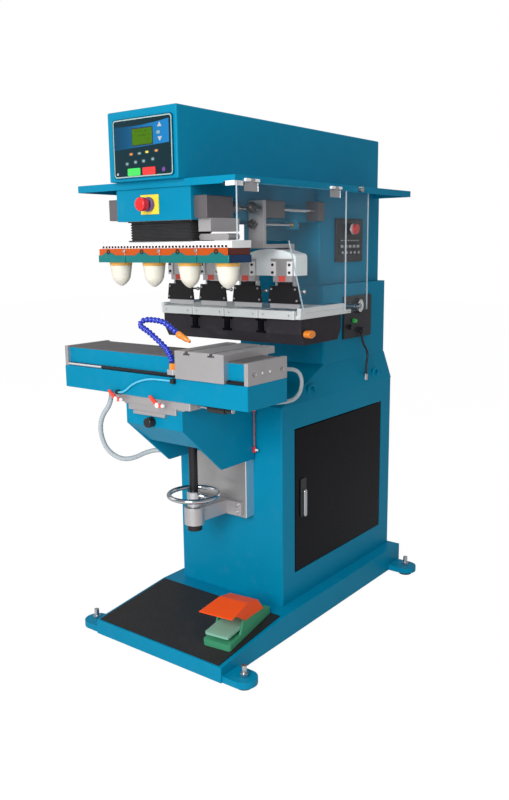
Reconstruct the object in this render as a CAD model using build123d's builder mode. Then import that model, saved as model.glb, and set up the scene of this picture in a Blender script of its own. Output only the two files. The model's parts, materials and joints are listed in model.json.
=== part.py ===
"""Four-colour open-inkwell pad printing machine with a shuttle table, in millimetres.

X runs to the operator's right, Y to the rear and Z up. The origin is on the floor, in
the middle of the machine.
"""
import math
import os

from build123d import *

os.makedirs("parts", exist_ok=True)

# ---- fits and sheet thicknesses ---------------------------------------------------
running_fit = 0.05          # radial clearance of a shaft in its bush
seat_gap = 0.3              # between pieces that move past each other
frame_sheet = 4.0           # walls of the welded housings
cabinet_sheet = 3.0

# ---- base with its sloping footrest -----------------------------------------------
base_half = 262.0
base_front = -555.0
base_rear = 545.0
foot_height = 12.0          # the base stands this high on its levelling feet
base_top = 94.0
footrest_front_top = 60.0
footrest_back = -240.0
ear_reach = 50.0            # from the base's side to the levelling screw
ear_radius = 40.0
ear_thickness = 20.0
ear_inset = 45.0            # from the base's ends to the levelling screws
stud_radius = 8.0
stud_top = 66.0
foot_pad_radius = 24.0
mat_half = 250.0
mat_thickness = 4.0
mat_margin = 6.0

# ---- cabinet, door and latch ------------------------------------------------------
cabinet_half = 216.0
cabinet_front = -182.0
cabinet_rear = 534.0
cabinet_top = 753.0
door_front = -109.0
door_rear = 455.0
door_low = 190.0
door_high = 670.0
door_thickness = 19.0
door_skin = 4.0
door_rim = 12.0
door_gap = 3.0
door_hinge_gap = 6.0
pivot_radius = 4.0
pivot_engagement = 18.0
latch_y = -66.0
latch_z = 436.0
latch_height = 130.0
latch_width = 32.0
latch_shaft_radius = 5.0
cam_reach = 60.0

# ---- column, arm and hood ---------------------------------------------------------
shoulder_top = cabinet_top + 97
lug_places = (0.0, 430.0)
lower_half = 180.0
lower_front = 115.0
lower_rear = 540.0
lower_top = 1116.0
upper_half = 160.0
upper_front = 118.0
upper_rear = 524.0
canopy_top = 1431.0
canopy_half = 303.0
canopy_front = -507.0
canopy_rear = 489.0
canopy_lip = 20.0
canopy_sheet = 3.0
hood_half = 132.0
hood_front = -534.0
hood_rear = 562.0
hood_top = 1620.0
arm_half = 144.0
arm_front = -500.0
arm_low = 1322.0
arm_sheet = 6.0

# ---- pad head ---------------------------------------------------------------------
pad_pitch = 141.0
pad_count = 4
pad_y = -428.0
pad_radius = 33.0
pad_base_top = 1205.0
pad_tip = 1132.0
pad_rim_height = 10.0
pad_plate_half = 261.0
pad_plate_depth = 84.0
pad_plate_low = 1245.0
pad_plate_top = 1265.0
holder_height = 21.0
head_stroke = 285.0
lift_stroke = 75.0
rod_radius = 8.0            # lift cylinder rod
post_radius = 10.0
post_x = 90.0

# ---- doctor carriage --------------------------------------------------------------
guide_x = 168.0
guide_z = 1358.0
guide_radius = 8.0
slide_width = 44.0
slide_front = -236.0
slide_rear = -124.0
front_bearing = (-487.0, -374.0)
rear_bearing = (62.0, 100.0)
hanger_y = -250.0
hanger_thickness = 12.0
beam_half = 258.0
beam_front = -166.0
beam_rear = -102.0
beam_low = 1159.0
beam_top = 1226.0
beam_crown = 14.0
link_z = 1312.0
link_radius = 5.0
blade_axis_y = -148.0
blade_axis_z = 1133.0
blade_low = 1060.0

# ---- plate tray and ink trough ----------------------------------------------------
tray_half = 285.0
tray_front = -180.0
tray_low = 1030.0
tray_thickness = 12.0
plate_top = 1056.0
plate_rear = 62.0
well_size = (100.0, 62.0, 7.0)
trough_half = 281.0
trough_front = -172.0
trough_low = 950.0

# ---- shuttle, cross slide, knee and elevating screw -------------------------------
bed_half = 363.0
bed_front = -542.0
bed_rear = -362.0
bed_low = 820.0
bed_top = 888.0
cover_low = 898.0
cover_top = 944.0
cover_plate = 3.6
carriage_left = 114.0
carriage_width = 176.0
carriage_front = -550.0
carriage_rear = -320.0
carriage_low = 948.0
carriage_top = 968.0
slot_width = 12.0
slot_depth = 11.0
cross_plate_half = 155.0
cross_travel = 12.0
knee_half = 113.0
knee_plate = 8.0
knee_front = -525.0
knee_top = 790.0
knee_low = 578.0
knee_fold = knee_top - 59.0  # height where the knee's front bends back
slideway_half = 104.0
slideway_front = -224.0
slideway_low = 385.0
slideway_top = 748.0
screw_y = -358.0
screw_radius = 14.0
screw_top = 726.0
nut_low = 662.0
boss_low = 386.0
boss_top = 443.0
boss_radius = 32.0
wheel_radius = 86.0
wheel_rim = 7.5
wheel_z = 482.0

# ---- controls ---------------------------------------------------------------------
keypad = (-108.0, 120.0, 1438.0, 1598.0)     # left, right, low, high
keypad_thickness = 4.0
display = (-30.0, 46.0, 1525.0, 1567.0)
start_key_box = (-51.0, -2.0, 1444.0, 1464.0)
stop_key_box = (7.0, 55.0, 1444.0, 1464.0)
key_proud = 2.5
estop_center = (-8.0, 1367.0)
estop_plate = (70.0, 54.0)
estop_radius = 19.0
side_panel_box = (212.0, 391.0, 1190.0, 1336.0)
switch_rows = tuple(side_panel_box[2] + rise for rise in (73, 53, 32))
air_panel_box = (235.0, 425.0, 924.0, 1072.0)
pedal_center = (178.0, -368.0)
pedal_turn = 6.0
pedal_size = (96.0, 244.0)


def centred(low, high):
    """Middle of a span."""
    return (low + high) / 2


def block(x_span, y_span, z_span, mode=Mode.ADD):
    """A rectangular block between two values along each axis."""
    spans = (x_span, y_span, z_span)
    with Locations(tuple(centred(*span) for span in spans)):
        Box(*(high - low for low, high in spans), mode=mode)


def rod_along(axis, start, length, radius, mode=Mode.ADD):
    """A round bar from a start point along an axis, 'x', 'y' or 'z'."""
    turn = {"x": (0, 90, 0), "y": (-90, 0, 0), "z": (0, 0, 0)}[axis]
    with Locations(Location(start, turn)):
        Cylinder(radius, length, align=(Align.CENTER, Align.CENTER, Align.MIN), mode=mode)


def front_plane(y):
    """A sketch plane that faces the operator, at depth y."""
    return Plane(origin=(0, y, 0), x_dir=(1, 0, 0), z_dir=(0, -1, 0))


def footrest_height(y):
    """Height of the base's upper surface at depth y."""
    if y >= footrest_back:
        return base_top
    share = (y - base_front) / (footrest_back - base_front)
    return footrest_front_top + share * (base_top - footrest_front_top)


# ---- base -------------------------------------------------------------------------
ear_places = [
    (side * (base_half + ear_reach), y)
    for side in (-1, 1)
    for y in (base_front + ear_inset, base_rear - ear_inset)
]

with BuildPart() as base_frame:
    with BuildSketch(Plane.YZ.offset(-base_half)):
        with BuildLine():
            Polyline(
                (base_front, foot_height), (base_rear, foot_height), (base_rear, base_top),
                (footrest_back, base_top), (base_front, footrest_front_top), close=True,
            )
        make_face()
    extrude(amount=2 * base_half)
    with BuildSketch(Plane.XY.offset(foot_height)):
        for ear_x, ear_y in ear_places:
            with Locations((ear_x, ear_y)):
                Circle(ear_radius)
            with Locations((ear_x - math.copysign(ear_reach / 2, ear_x), ear_y)):
                Rectangle(ear_reach, 2 * ear_radius)
    extrude(amount=ear_thickness)
    with Locations(*[(x, y, foot_height + ear_thickness) for x, y in ear_places]):
        Hole(stud_radius + seat_gap, depth=ear_thickness)
    with BuildSketch(Plane.YZ.offset(-base_half + frame_sheet)):
        with BuildLine():
            Polyline(
                (base_front + frame_sheet, foot_height + frame_sheet),
                (base_rear - frame_sheet, foot_height + frame_sheet),
                (base_rear - frame_sheet, base_top - frame_sheet),
                (footrest_back, base_top - frame_sheet),
                (base_front + frame_sheet, footrest_front_top - frame_sheet), close=True,
            )
        make_face()
    extrude(amount=2 * (base_half - frame_sheet), mode=Mode.SUBTRACT)

with BuildPart() as levelling_feet:
    for ear_x, ear_y in ear_places:
        with BuildSketch(Plane(origin=(ear_x, ear_y, 0), x_dir=(1, 0, 0), z_dir=(0, -1, 0))):
            with BuildLine():
                Polyline(
                    (0, 0), (foot_pad_radius, 0), (foot_pad_radius, 5), (15, 9),
                    (15, foot_height), (stud_radius, foot_height), (stud_radius, stud_top),
                    (0, stud_top), close=True,
                )
            make_face()
        revolve(axis=Axis((ear_x, ear_y, 0), (0, 0, 1)))

with BuildPart() as levelling_nuts:
    with BuildSketch(Plane.XY.offset(foot_height + ear_thickness)):
        with Locations(*ear_places):
            RegularPolygon(13, 6)
            Circle(stud_radius + seat_gap / 2, mode=Mode.SUBTRACT)
    extrude(amount=12)

mat_front = base_front + mat_margin
mat_rear = footrest_back - mat_margin
with BuildPart() as floor_mat:
    with BuildSketch(Plane.YZ.offset(-mat_half)):
        with BuildLine():
            Polyline(
                (mat_front, footrest_height(mat_front)), (mat_rear, footrest_height(mat_rear)),
                (mat_rear, footrest_height(mat_rear) + mat_thickness),
                (mat_front, footrest_height(mat_front) + mat_thickness), close=True,
            )
        make_face()
    extrude(amount=2 * mat_half)

# ---- cabinet ----------------------------------------------------------------------
cabinet_inner = cabinet_half - cabinet_sheet
door_window_y = (door_front - door_gap, door_rear + door_hinge_gap)
door_window_z = (door_low - door_gap, door_high + door_gap)

with BuildPart() as cabinet_shell:
    block((-cabinet_half, cabinet_half), (cabinet_front, cabinet_rear), (base_top, cabinet_top))
    fillet(cabinet_shell.edges().filter_by(Axis.Z), 5)
    block(
        (-cabinet_inner, cabinet_inner),
        (cabinet_front + cabinet_sheet, cabinet_rear - cabinet_sheet),
        (base_top + cabinet_sheet, cabinet_top - cabinet_sheet), Mode.SUBTRACT,
    )
    block((cabinet_inner - 1, cabinet_half + 1), door_window_y, door_window_z, Mode.SUBTRACT)

door_outer = cabinet_half + 1
door_inner = door_outer - door_thickness
pivot_x = door_inner + 10
pivot_y = door_rear - door_rim / 2

with BuildPart() as door_pivots:
    for low, high in ((door_window_z[0] - 7, door_window_z[0]), (door_window_z[1], door_window_z[1] + 7)):
        block((pivot_x - 8, cabinet_inner), (pivot_y - 8, pivot_y + 24), (low, high))
    rod_along("z", (pivot_x, pivot_y, door_window_z[0]), pivot_engagement, pivot_radius)
    rod_along("z", (pivot_x, pivot_y, door_window_z[1] - pivot_engagement), pivot_engagement, pivot_radius)

with BuildPart() as cabinet_door:
    block((door_inner, door_outer), (door_front, door_rear), (door_low, door_high))
    fillet(cabinet_door.edges().group_by(Axis.X)[-1], 1.5)
    block(
        (door_inner - 1, door_outer - door_skin), (door_front + door_rim, door_rear - door_rim),
        (door_low + door_rim, door_high - door_rim), Mode.SUBTRACT,
    )
    block(
        (door_inner - 1, door_outer - door_skin), (door_front - 1, door_front + door_rim + 1),
        (latch_z - cam_reach - 8, latch_z + cam_reach + 8), Mode.SUBTRACT,
    )
    for low in (door_low, door_high - pivot_engagement):
        rod_along("z", (pivot_x, pivot_y, low), pivot_engagement, pivot_radius + running_fit, Mode.SUBTRACT)
    rod_along(
        "x", (door_inner, latch_y, latch_z), door_thickness + 1,
        latch_shaft_radius + running_fit, Mode.SUBTRACT,
    )

latch_face = door_outer + 4
with BuildPart() as latch_cup:
    with BuildSketch(Plane(origin=(door_outer, latch_y, latch_z), x_dir=(0, 1, 0), z_dir=(1, 0, 0))):
        RectangleRounded(latch_width, latch_height, 6)
        Circle(latch_shaft_radius + running_fit, mode=Mode.SUBTRACT)
    extrude(amount=latch_face - door_outer)

with BuildPart() as latch_handle:
    with BuildSketch(
        Plane(origin=(latch_face + seat_gap, latch_y, latch_z), x_dir=(0, 1, 0), z_dir=(1, 0, 0))
    ):
        with Locations((0, -18)):
            SlotOverall(latch_height * 0.72, 16, rotation=90)
    extrude(amount=9)
    fillet(latch_handle.edges().group_by(Axis.X)[-1], 3)
    rod_along("x", (door_inner - 8, latch_y, latch_z), latch_face + 1 - door_inner + 8, latch_shaft_radius)

with BuildPart() as latch_cam:
    with BuildSketch(Plane.XZ.offset(8 - latch_y)):
        with BuildLine():
            Polyline(
                (door_inner - 8, latch_z + 9), (door_inner - 2, latch_z + 9),
                (door_inner - 2, latch_z - cam_reach + 13), (cabinet_inner - 0.5, latch_z - cam_reach + 13),
                (cabinet_inner - 0.5, latch_z - cam_reach), (door_inner - 8, latch_z - cam_reach),
                close=True,
            )
        make_face()
    extrude(amount=-16)
    rod_along("x", (door_inner - 9, latch_y, latch_z), 9, latch_shaft_radius, Mode.SUBTRACT)

# ---- electrical and air equipment inside the cabinet ------------------------------
panel_x = -cabinet_inner + 12
with BuildPart() as equipment_plate:
    block((panel_x, panel_x + 3), (-100, 440), (210, 660))
    for y, z in ((-80, 230), (-80, 640), (420, 230), (420, 640)):
        rod_along("x", (-cabinet_inner, y, z), 12, 8)

with BuildPart() as wiring_rails:
    for z in (300, 450, 600):
        block((panel_x + 3, panel_x + 10), (-80, 420), (z - 17, z + 17))

rail_x = panel_x + 10
with BuildPart() as controller_units:
    for y, z, wide, tall, deep in (
        (-20, 600, 110, 90, 70), (110, 600, 90, 90, 70), (250, 600, 70, 100, 95),
        (-40, 450, 60, 80, 70), (40, 450, 60, 80, 70), (120, 450, 60, 80, 70),
    ):
        block((rail_x, rail_x + deep), (y - wide / 2, y + wide / 2), (z - tall / 2, z + tall / 2))
    fillet(controller_units.edges().group_by(Axis.X)[-1], 2)

with BuildPart() as terminal_blocks:
    with Locations(*[(rail_x + 22, -60 + 22 * i, 300) for i in range(18)]):
        Box(44, 20, 52)

with BuildPart() as valve_manifold:
    block((rail_x, rail_x + 46), (200, 400), (430, 470))
    for i in range(6):
        block((rail_x + 8, rail_x + 38), (206 + 32 * i, 232 + 32 * i), (400, 430))
        block((rail_x + 8, rail_x + 38), (206 + 32 * i, 232 + 32 * i), (470, 512))

# ---- column -----------------------------------------------------------------------
with BuildPart() as shoulder:
    for inset, mode in ((0, Mode.ADD), (frame_sheet, Mode.SUBTRACT)):
        with BuildSketch(Plane.XY.offset(cabinet_top + inset)):
            with Locations((0, centred(cabinet_front, cabinet_rear))):
                Rectangle(2 * (cabinet_half - 2 * inset), cabinet_rear - cabinet_front - 6 * inset)
        with BuildSketch(Plane.XY.offset(shoulder_top - inset)):
            with Locations((0, centred(lower_front, lower_rear))):
                Rectangle(2 * (lower_half - 2 * inset), lower_rear - lower_front - 6 * inset)
        loft(mode=mode)
    for y in lug_places:
        for side in (-1, 1):
            with Locations(Location((side * 208, y, cabinet_top + 27), (0, 90, 0))):
                Torus(20, 4.5)
    rod_along("z", (210, 352, 768), 22, 8)

with BuildPart() as lower_column:
    block((-lower_half, lower_half), (lower_front, lower_rear), (shoulder_top, lower_top))
    fillet(lower_column.edges().filter_by(Axis.Z), 6)
    block(
        (-lower_half + frame_sheet, lower_half - frame_sheet),
        (lower_front + frame_sheet, lower_rear - frame_sheet),
        (shoulder_top + frame_sheet, lower_top - frame_sheet), Mode.SUBTRACT,
    )

with BuildPart() as upper_column:
    block((-upper_half, upper_half), (upper_front, upper_rear), (lower_top, canopy_top))
    fillet(upper_column.edges().filter_by(Axis.Z), 6)
    block(
        (-upper_half + frame_sheet, upper_half - frame_sheet),
        (upper_front + frame_sheet, upper_rear - frame_sheet),
        (lower_top + frame_sheet, canopy_top - frame_sheet), Mode.SUBTRACT,
    )

with BuildPart() as canopy_plate:
    block(
        (-canopy_half, canopy_half), (canopy_front, canopy_rear),
        (canopy_top - canopy_lip, canopy_top),
    )
    fillet(canopy_plate.edges().filter_by(Axis.Z), 4)
    block(
        (-canopy_half + canopy_sheet, canopy_half - canopy_sheet),
        (canopy_front + canopy_sheet, canopy_rear - canopy_sheet),
        (canopy_top - canopy_lip - 1, canopy_top - canopy_sheet), Mode.SUBTRACT,
    )
    block(
        (-upper_half - seat_gap, upper_half + seat_gap), (upper_front - seat_gap, canopy_rear + 1),
        (canopy_top - canopy_lip - 1, canopy_top + 1), Mode.SUBTRACT,
    )

with BuildPart() as hood_cover:
    block((-hood_half, hood_half), (hood_front, hood_rear), (canopy_top, hood_top))
    fillet(hood_cover.edges().filter_by(Axis.Z), 5)
    fillet(hood_cover.edges().group_by(Axis.Z)[-1], 5)
    block(
        (-hood_half + frame_sheet, hood_half - frame_sheet),
        (hood_front + frame_sheet, hood_rear - frame_sheet),
        (canopy_top + frame_sheet, hood_top - frame_sheet - 2), Mode.SUBTRACT,
    )

# ---- fixed arm --------------------------------------------------------------------
arm_high = canopy_top - canopy_sheet
with BuildPart() as arm_sides:
    for side in (-1, 1):
        block(
            tuple(sorted((side * arm_half, side * (arm_half - arm_sheet)))),
            (arm_front + arm_sheet, upper_front), (arm_low, arm_high),
        )

with BuildPart() as arm_front_cover:
    block((-arm_half, arm_half), (arm_front, arm_front + arm_sheet), (arm_low, arm_high))
    fillet(arm_front_cover.edges().filter_by(Axis.Z).group_by(Axis.Y)[0], 3)
    rod_along(
        "y", (estop_center[0], arm_front - 1, estop_center[1]), arm_sheet + 2,
        8 + running_fit, Mode.SUBTRACT,
    )

head_rail_z = 1384.0
head_rail_inner = arm_half - arm_sheet - 18
with BuildPart() as head_rails:
    for side in (-1, 1):
        block(
            tuple(sorted((side * (arm_half - arm_sheet), side * head_rail_inner))),
            (arm_front + arm_sheet, upper_front), (head_rail_z - 10, head_rail_z + 10),
        )

# ---- pad head: traversing carriage ------------------------------------------------
carriage_half = arm_half - arm_sheet - 6
head_front = pad_y - 53
head_rear = pad_y + 53
head_plate_top = arm_low + 20
with BuildPart() as head_carriage:
    block((-carriage_half, carriage_half), (head_front, head_rear), (arm_low, head_plate_top))
    for side in (-1, 1):
        inner = tuple(sorted((side * (head_rail_inner - 12), side * (carriage_half - 1))))
        block(inner, (head_front + 8, head_rear - 8), (head_plate_top, head_rail_z + 22))
        groove = tuple(sorted((side * (head_rail_inner - seat_gap), side * (carriage_half + 9))))
        block(
            groove, (head_front, head_rear),
            (head_rail_z - 10 - seat_gap, head_rail_z + 10 + seat_gap), Mode.SUBTRACT,
        )
    for side in (-1, 1):
        rod_along("z", (side * post_x, pad_y, arm_low - 34), 54, post_radius + 8)
        rod_along("z", (side * post_x, pad_y, arm_low - 35), 56, post_radius + running_fit, Mode.SUBTRACT)
    rod_along("z", (0, pad_y, arm_low - 1), 22, 25, Mode.SUBTRACT)

with BuildPart() as lift_cylinder:
    rod_along("z", (0, pad_y, arm_low - 34), 136, 25)
    fillet(lift_cylinder.edges(), 2)
    rod_along("z", (0, pad_y, arm_low - 35), 130, rod_radius + running_fit, Mode.SUBTRACT)

bellows_low = pad_plate_top
bellows_size = (252.0, 100.0)
bellows_pleats = 6
pleat_height = (arm_low - bellows_low) / bellows_pleats
with BuildPart() as bellows:
    for pleat in range(bellows_pleats):
        for half, (first, second) in enumerate(((0, 4), (4, 0))):
            z = bellows_low + (pleat + half / 2) * pleat_height
            for inset, height in ((first, 0), (second, pleat_height / 2)):
                with BuildSketch(Plane.XY.offset(z + height)):
                    with Locations((0, pad_y)):
                        Rectangle(bellows_size[0] - 2 * (4 - inset), bellows_size[1] - 2 * (4 - inset))
            loft()
    block(
        (-bellows_size[0] / 2 + 9, bellows_size[0] / 2 - 9),
        (pad_y - bellows_size[1] / 2 + 9, pad_y + bellows_size[1] / 2 - 9),
        (bellows_low - 1, arm_low + 1), Mode.SUBTRACT,
    )

# ---- pad head: lifting plate, clamps and pads -------------------------------------
pad_places = [(i - (pad_count - 1) / 2) * pad_pitch for i in range(pad_count)]
plate_front = pad_y - pad_plate_depth / 2
plate_rear_edge = pad_y + pad_plate_depth / 2
with BuildPart() as pad_plate:
    block((-pad_plate_half, pad_plate_half), (plate_front, plate_rear_edge), (pad_plate_low, pad_plate_top))
    chamfer(pad_plate.edges().group_by(Axis.Y)[0].filter_by(Axis.X), 1)
    notch_pitch = 13.0
    notches = int(2 * (pad_plate_half - 14) / notch_pitch)
    with Locations(*[
        ((i - (notches - 1) / 2) * notch_pitch, plate_front, pad_plate_low + 5)
        for i in range(notches)
    ]):
        Box(8, 12, 6, mode=Mode.SUBTRACT)
    rod_along("z", (0, pad_y, pad_plate_top - 12), 13, rod_radius, Mode.SUBTRACT)
    for side in (-1, 1):
        rod_along("z", (side * post_x, pad_y, pad_plate_top - 12), 13, post_radius, Mode.SUBTRACT)

with BuildPart() as lift_rod:
    rod_along("z", (0, pad_y, pad_plate_top - 12), 140, rod_radius)

with BuildPart() as guide_posts:
    for side in (-1, 1):
        rod_along("z", (side * post_x, pad_y, pad_plate_top - 12), 150, post_radius)

holder_top = pad_base_top + holder_height
arch_radius = 46.0
arch_drop = 37.0
holder_end = pad_places[-1] + arch_radius - 1.5
clamp_half = holder_end - 4
clamp_front = pad_y - 50
clamp_rear = pad_y + 50
with BuildPart() as pad_clamp_bar:
    with BuildSketch(front_plane(clamp_front)):
        with Locations((0, centred(holder_top, pad_plate_low))):
            Rectangle(2 * clamp_half, pad_plate_low - holder_top)
        with Locations(*[(x, holder_top - arch_drop) for x in pad_places]):
            Circle(arch_radius + seat_gap, mode=Mode.SUBTRACT)
    extrude(amount=clamp_front - clamp_rear)

with BuildPart() as pad_holders:
    for x in pad_places:
        left = max(x - pad_pitch / 2 + 1.5, -holder_end)
        right = min(x + pad_pitch / 2 - 1.5, holder_end)
        with BuildSketch(front_plane(clamp_front)):
            with Locations((centred(left, right), centred(pad_base_top, holder_top))):
                Rectangle(right - left, holder_height)
            with Locations((x, holder_top - arch_drop)):
                Circle(arch_radius)
            with Locations((x, pad_base_top - 50)):
                Rectangle(pad_pitch, 100, mode=Mode.SUBTRACT)
        extrude(amount=clamp_front - clamp_rear)

with BuildPart() as clamp_screws:
    with Locations(*[
        Location((x + pad_pitch / 2, clamp_front, pad_plate_low - 7), (90, 0, 0))
        for x in pad_places[:-1]
    ]):
        Cylinder(5, 5, align=(Align.CENTER, Align.CENTER, Align.MIN))

with BuildPart() as pad_bases:
    with Locations(*[(x, pad_y, pad_base_top) for x in pad_places]):
        Cone(
            pad_radius + 2, pad_radius, pad_rim_height, rotation=(180, 0, 0),
            align=(Align.CENTER, Align.CENTER, Align.MIN),
        )

with BuildPart() as pads:
    pad_shoulder = pad_base_top - pad_rim_height
    for x in pad_places:
        with BuildSketch(Plane(origin=(x, pad_y, 0), x_dir=(1, 0, 0), z_dir=(0, -1, 0))):
            with BuildLine():
                top_edge = Line((0, pad_shoulder), (pad_radius, pad_shoulder))
                cup_side = Line(top_edge @ 1, (pad_radius - 5, pad_tip + 30))
                nose = Spline(
                    cup_side @ 1, (pad_radius * 0.45, pad_tip + 7.5), (0, pad_tip),
                    tangents=[(-0.25, -1), (-1, -0.15)],
                )
                Line(nose @ 1, top_edge @ 0)
            make_face()
        revolve(axis=Axis((x, pad_y, 0), (0, 0, 1)))

# ---- doctor carriage --------------------------------------------------------------
arm_outside = arm_half
slide_span = (arm_outside + 2, arm_outside + 2 + slide_width)


def both_sides(x_span, y_span, z_span, mode=Mode.ADD):
    """The same block on the right and on the left of the machine."""
    block(x_span, y_span, z_span, mode)
    block((-x_span[1], -x_span[0]), y_span, z_span, mode)


with BuildPart() as guide_bearings:
    for y_span in (front_bearing, rear_bearing):
        both_sides((arm_outside, slide_span[1]), y_span, (guide_z - 32, guide_z + 28))
    fillet(guide_bearings.edges().filter_by(Axis.Y), 3)
    for side in (-1, 1):
        rod_along(
            "y", (side * guide_x, front_bearing[0] + 6, guide_z),
            rear_bearing[1] - front_bearing[0], guide_radius, Mode.SUBTRACT,
        )

with BuildPart() as guide_rods:
    for side in (-1, 1):
        rod_along(
            "y", (side * guide_x, front_bearing[0] + 6, guide_z),
            rear_bearing[1] - front_bearing[0] - 6, guide_radius,
        )

with BuildPart() as guide_bushes:
    for side in (-1, 1):
        rod_along("y", (side * guide_x, front_bearing[1], guide_z), 38, 15)
        rod_along("y", (side * guide_x, front_bearing[1] - 1, guide_z), 40, guide_radius, Mode.SUBTRACT)

with BuildPart() as doctor_slides:
    both_sides(slide_span, (slide_front, slide_rear), (guide_z - 27, guide_z + 24))
    fillet(doctor_slides.edges().filter_by(Axis.Y), 3)
    for side in (-1, 1):
        rod_along(
            "y", (side * guide_x, slide_front - 1, guide_z), slide_rear - slide_front + 2,
            guide_radius + running_fit, Mode.SUBTRACT,
        )

hanger_span = (arm_outside + 4, arm_outside + 58)
ball_knob_x = arm_outside + 50
hanger_foot = beam_top + beam_crown + 2
with BuildPart() as doctor_hangers:
    for side in (-1, 1):
        left, right = sorted((side * hanger_span[0], side * hanger_span[1]))
        with BuildSketch(Plane.YZ.offset(left)):
            with BuildLine():
                Polyline(
                    (hanger_y, hanger_foot), (beam_rear, hanger_foot), (beam_rear, beam_top - 20),
                    (beam_rear + hanger_thickness, beam_top - 20),
                    (beam_rear + hanger_thickness, hanger_foot + hanger_thickness),
                    (slide_front, hanger_foot + hanger_thickness), (slide_front, guide_z + 22),
                    (hanger_y, guide_z + 22), close=True,
                )
            make_face()
        extrude(amount=right - left)
    fillet(doctor_hangers.edges().filter_by(Axis.X).group_by(Axis.Z)[-1], 3)
    for side in (-1, 1):
        rod_along(
            "y", (side * guide_x, hanger_y - 1, guide_z), hanger_thickness + 4,
            guide_radius + 1, Mode.SUBTRACT,
        )
    rod_along("y", (guide_x + 2, hanger_y - 1, link_z), 20, link_radius, Mode.SUBTRACT)

with BuildPart() as clamp_ball_knob:
    rod_along("y", (ball_knob_x, hanger_y - 34, guide_z), 34, 4)
    with Locations((ball_knob_x, hanger_y - 45, guide_z)):
        Sphere(16.5)

with BuildPart() as link_rod:
    rod_along("y", (guide_x + 2, hanger_y - 14, link_z), 240, link_radius)

with BuildPart() as star_knob:
    with BuildSketch(front_plane(hanger_y - 6)):
        with Locations((guide_x + 2, link_z)):
            Circle(10)
            with PolarLocations(9.5, 5):
                Circle(4.5)
            Circle(link_radius, mode=Mode.SUBTRACT)
    extrude(amount=14)

link_bush_y = -48.0
with BuildPart() as link_bracket:
    block((arm_outside, arm_outside + 38), (link_bush_y - 10, link_bush_y + 10), (link_z - 14, link_z + 16))
    rod_along("y", (guide_x + 2, link_bush_y - 12, link_z), 24, 9, Mode.SUBTRACT)

with BuildPart() as link_bush:
    rod_along("y", (guide_x + 2, link_bush_y - 14, link_z), 28, 9)
    rod_along("y", (guide_x + 2, link_bush_y - 15, link_z), 30, link_radius + running_fit, Mode.SUBTRACT)

unit_places = pad_places
crown_half = 82.0
crown_center = 160.0
with BuildPart() as doctor_beam:
    with BuildSketch(front_plane(beam_front)):
        with BuildLine():
            right_end = Line((crown_center + crown_half, beam_top), (beam_half - 14, beam_top))
            right_round = ThreePointArc(
                right_end @ 1, (beam_half - 4, beam_top - 4), (beam_half, beam_top - 14),
            )
            right_side = Line(right_round @ 1, (beam_half, beam_low))
            bottom = Line(right_side @ 1, (-beam_half, beam_low))
            left_side = Line(bottom @ 1, (-beam_half, beam_top - 14))
            left_round = ThreePointArc(
                left_side @ 1, (-beam_half + 4, beam_top - 4), (-beam_half + 14, beam_top),
            )
            left_end = Line(left_round @ 1, (-crown_center - crown_half, beam_top))
            left_crown = ThreePointArc(
                left_end @ 1, (-crown_center, beam_top + beam_crown),
                (-crown_center + crown_half, beam_top),
            )
            middle = Line(left_crown @ 1, (crown_center - crown_half, beam_top))
            ThreePointArc(middle @ 1, (crown_center, beam_top + beam_crown), right_end @ 0)
        make_face()
    extrude(amount=beam_front - beam_rear)

unit_depth = 22.0
with BuildPart() as doctor_units:
    for x in unit_places:
        block((x - 41, x + 41), (beam_front - 6, beam_front), (beam_low, beam_top - 16))
        block((x - 35, x + 35), (beam_front, beam_front + unit_depth), (blade_axis_z + 8, beam_low))
        block((x - 35, x + 35), (beam_front - 2, beam_front), (blade_axis_z + 8, beam_low))

with BuildPart() as unit_clamps:
    with Locations(*[
        (x + side * 31, beam_front - 8, centred(beam_low, beam_top - 24)) for x in unit_places for side in (-1, 1)
    ]):
        Box(20, 4, 43)

with BuildPart() as blade_pivots:
    for x in unit_places:
        for side in (-1, 1):
            block(
                tuple(sorted((x + side * 29, x + side * 35))),
                (blade_axis_y - 8, blade_axis_y + 8), (blade_axis_z - 8, blade_axis_z + 8),
            )
        rod_along("x", (x - 35, blade_axis_y, blade_axis_z), 70, 4)

holder_low = blade_low + 15
holder_high = blade_low + 68
with BuildPart() as blade_holders:
    for x in unit_places:
        with BuildSketch(front_plane(blade_axis_y - 10)):
            with Locations((x, centred(holder_low, holder_high))):
                Trapezoid(116, holder_high - holder_low, 82)
        extrude(amount=6)
        block((x - 24, x + 24), (blade_axis_y - 10, blade_axis_y + 6), (blade_axis_z - 29, blade_axis_z + 6))
        rod_along("x", (x - 25, blade_axis_y, blade_axis_z), 50, 4 + running_fit, Mode.SUBTRACT)

with BuildPart() as blades:
    for x in unit_places:
        block((x - 54, x + 54), (blade_axis_y - 10, blade_axis_y - 8), (blade_low, blade_low + 40))

with BuildPart() as blade_levers:
    for x in unit_places:
        rod_along("x", (x + 24, blade_axis_y, blade_axis_z - 21), 38, 3)
        with Locations((x + 66, blade_axis_y, blade_axis_z - 21)):
            Sphere(6)

# ---- plate tray, printing plates and ink trough -----------------------------------
with BuildPart() as tray_frame:
    block((-tray_half, tray_half), (tray_front, lower_front), (tray_low, tray_low + tray_thickness))
    for side in (-1, 1):
        block(
            tuple(sorted((side * tray_half, side * (tray_half - 12)))),
            (tray_front, plate_rear + 15), (tray_low + tray_thickness, plate_top + 8),
        )

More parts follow.
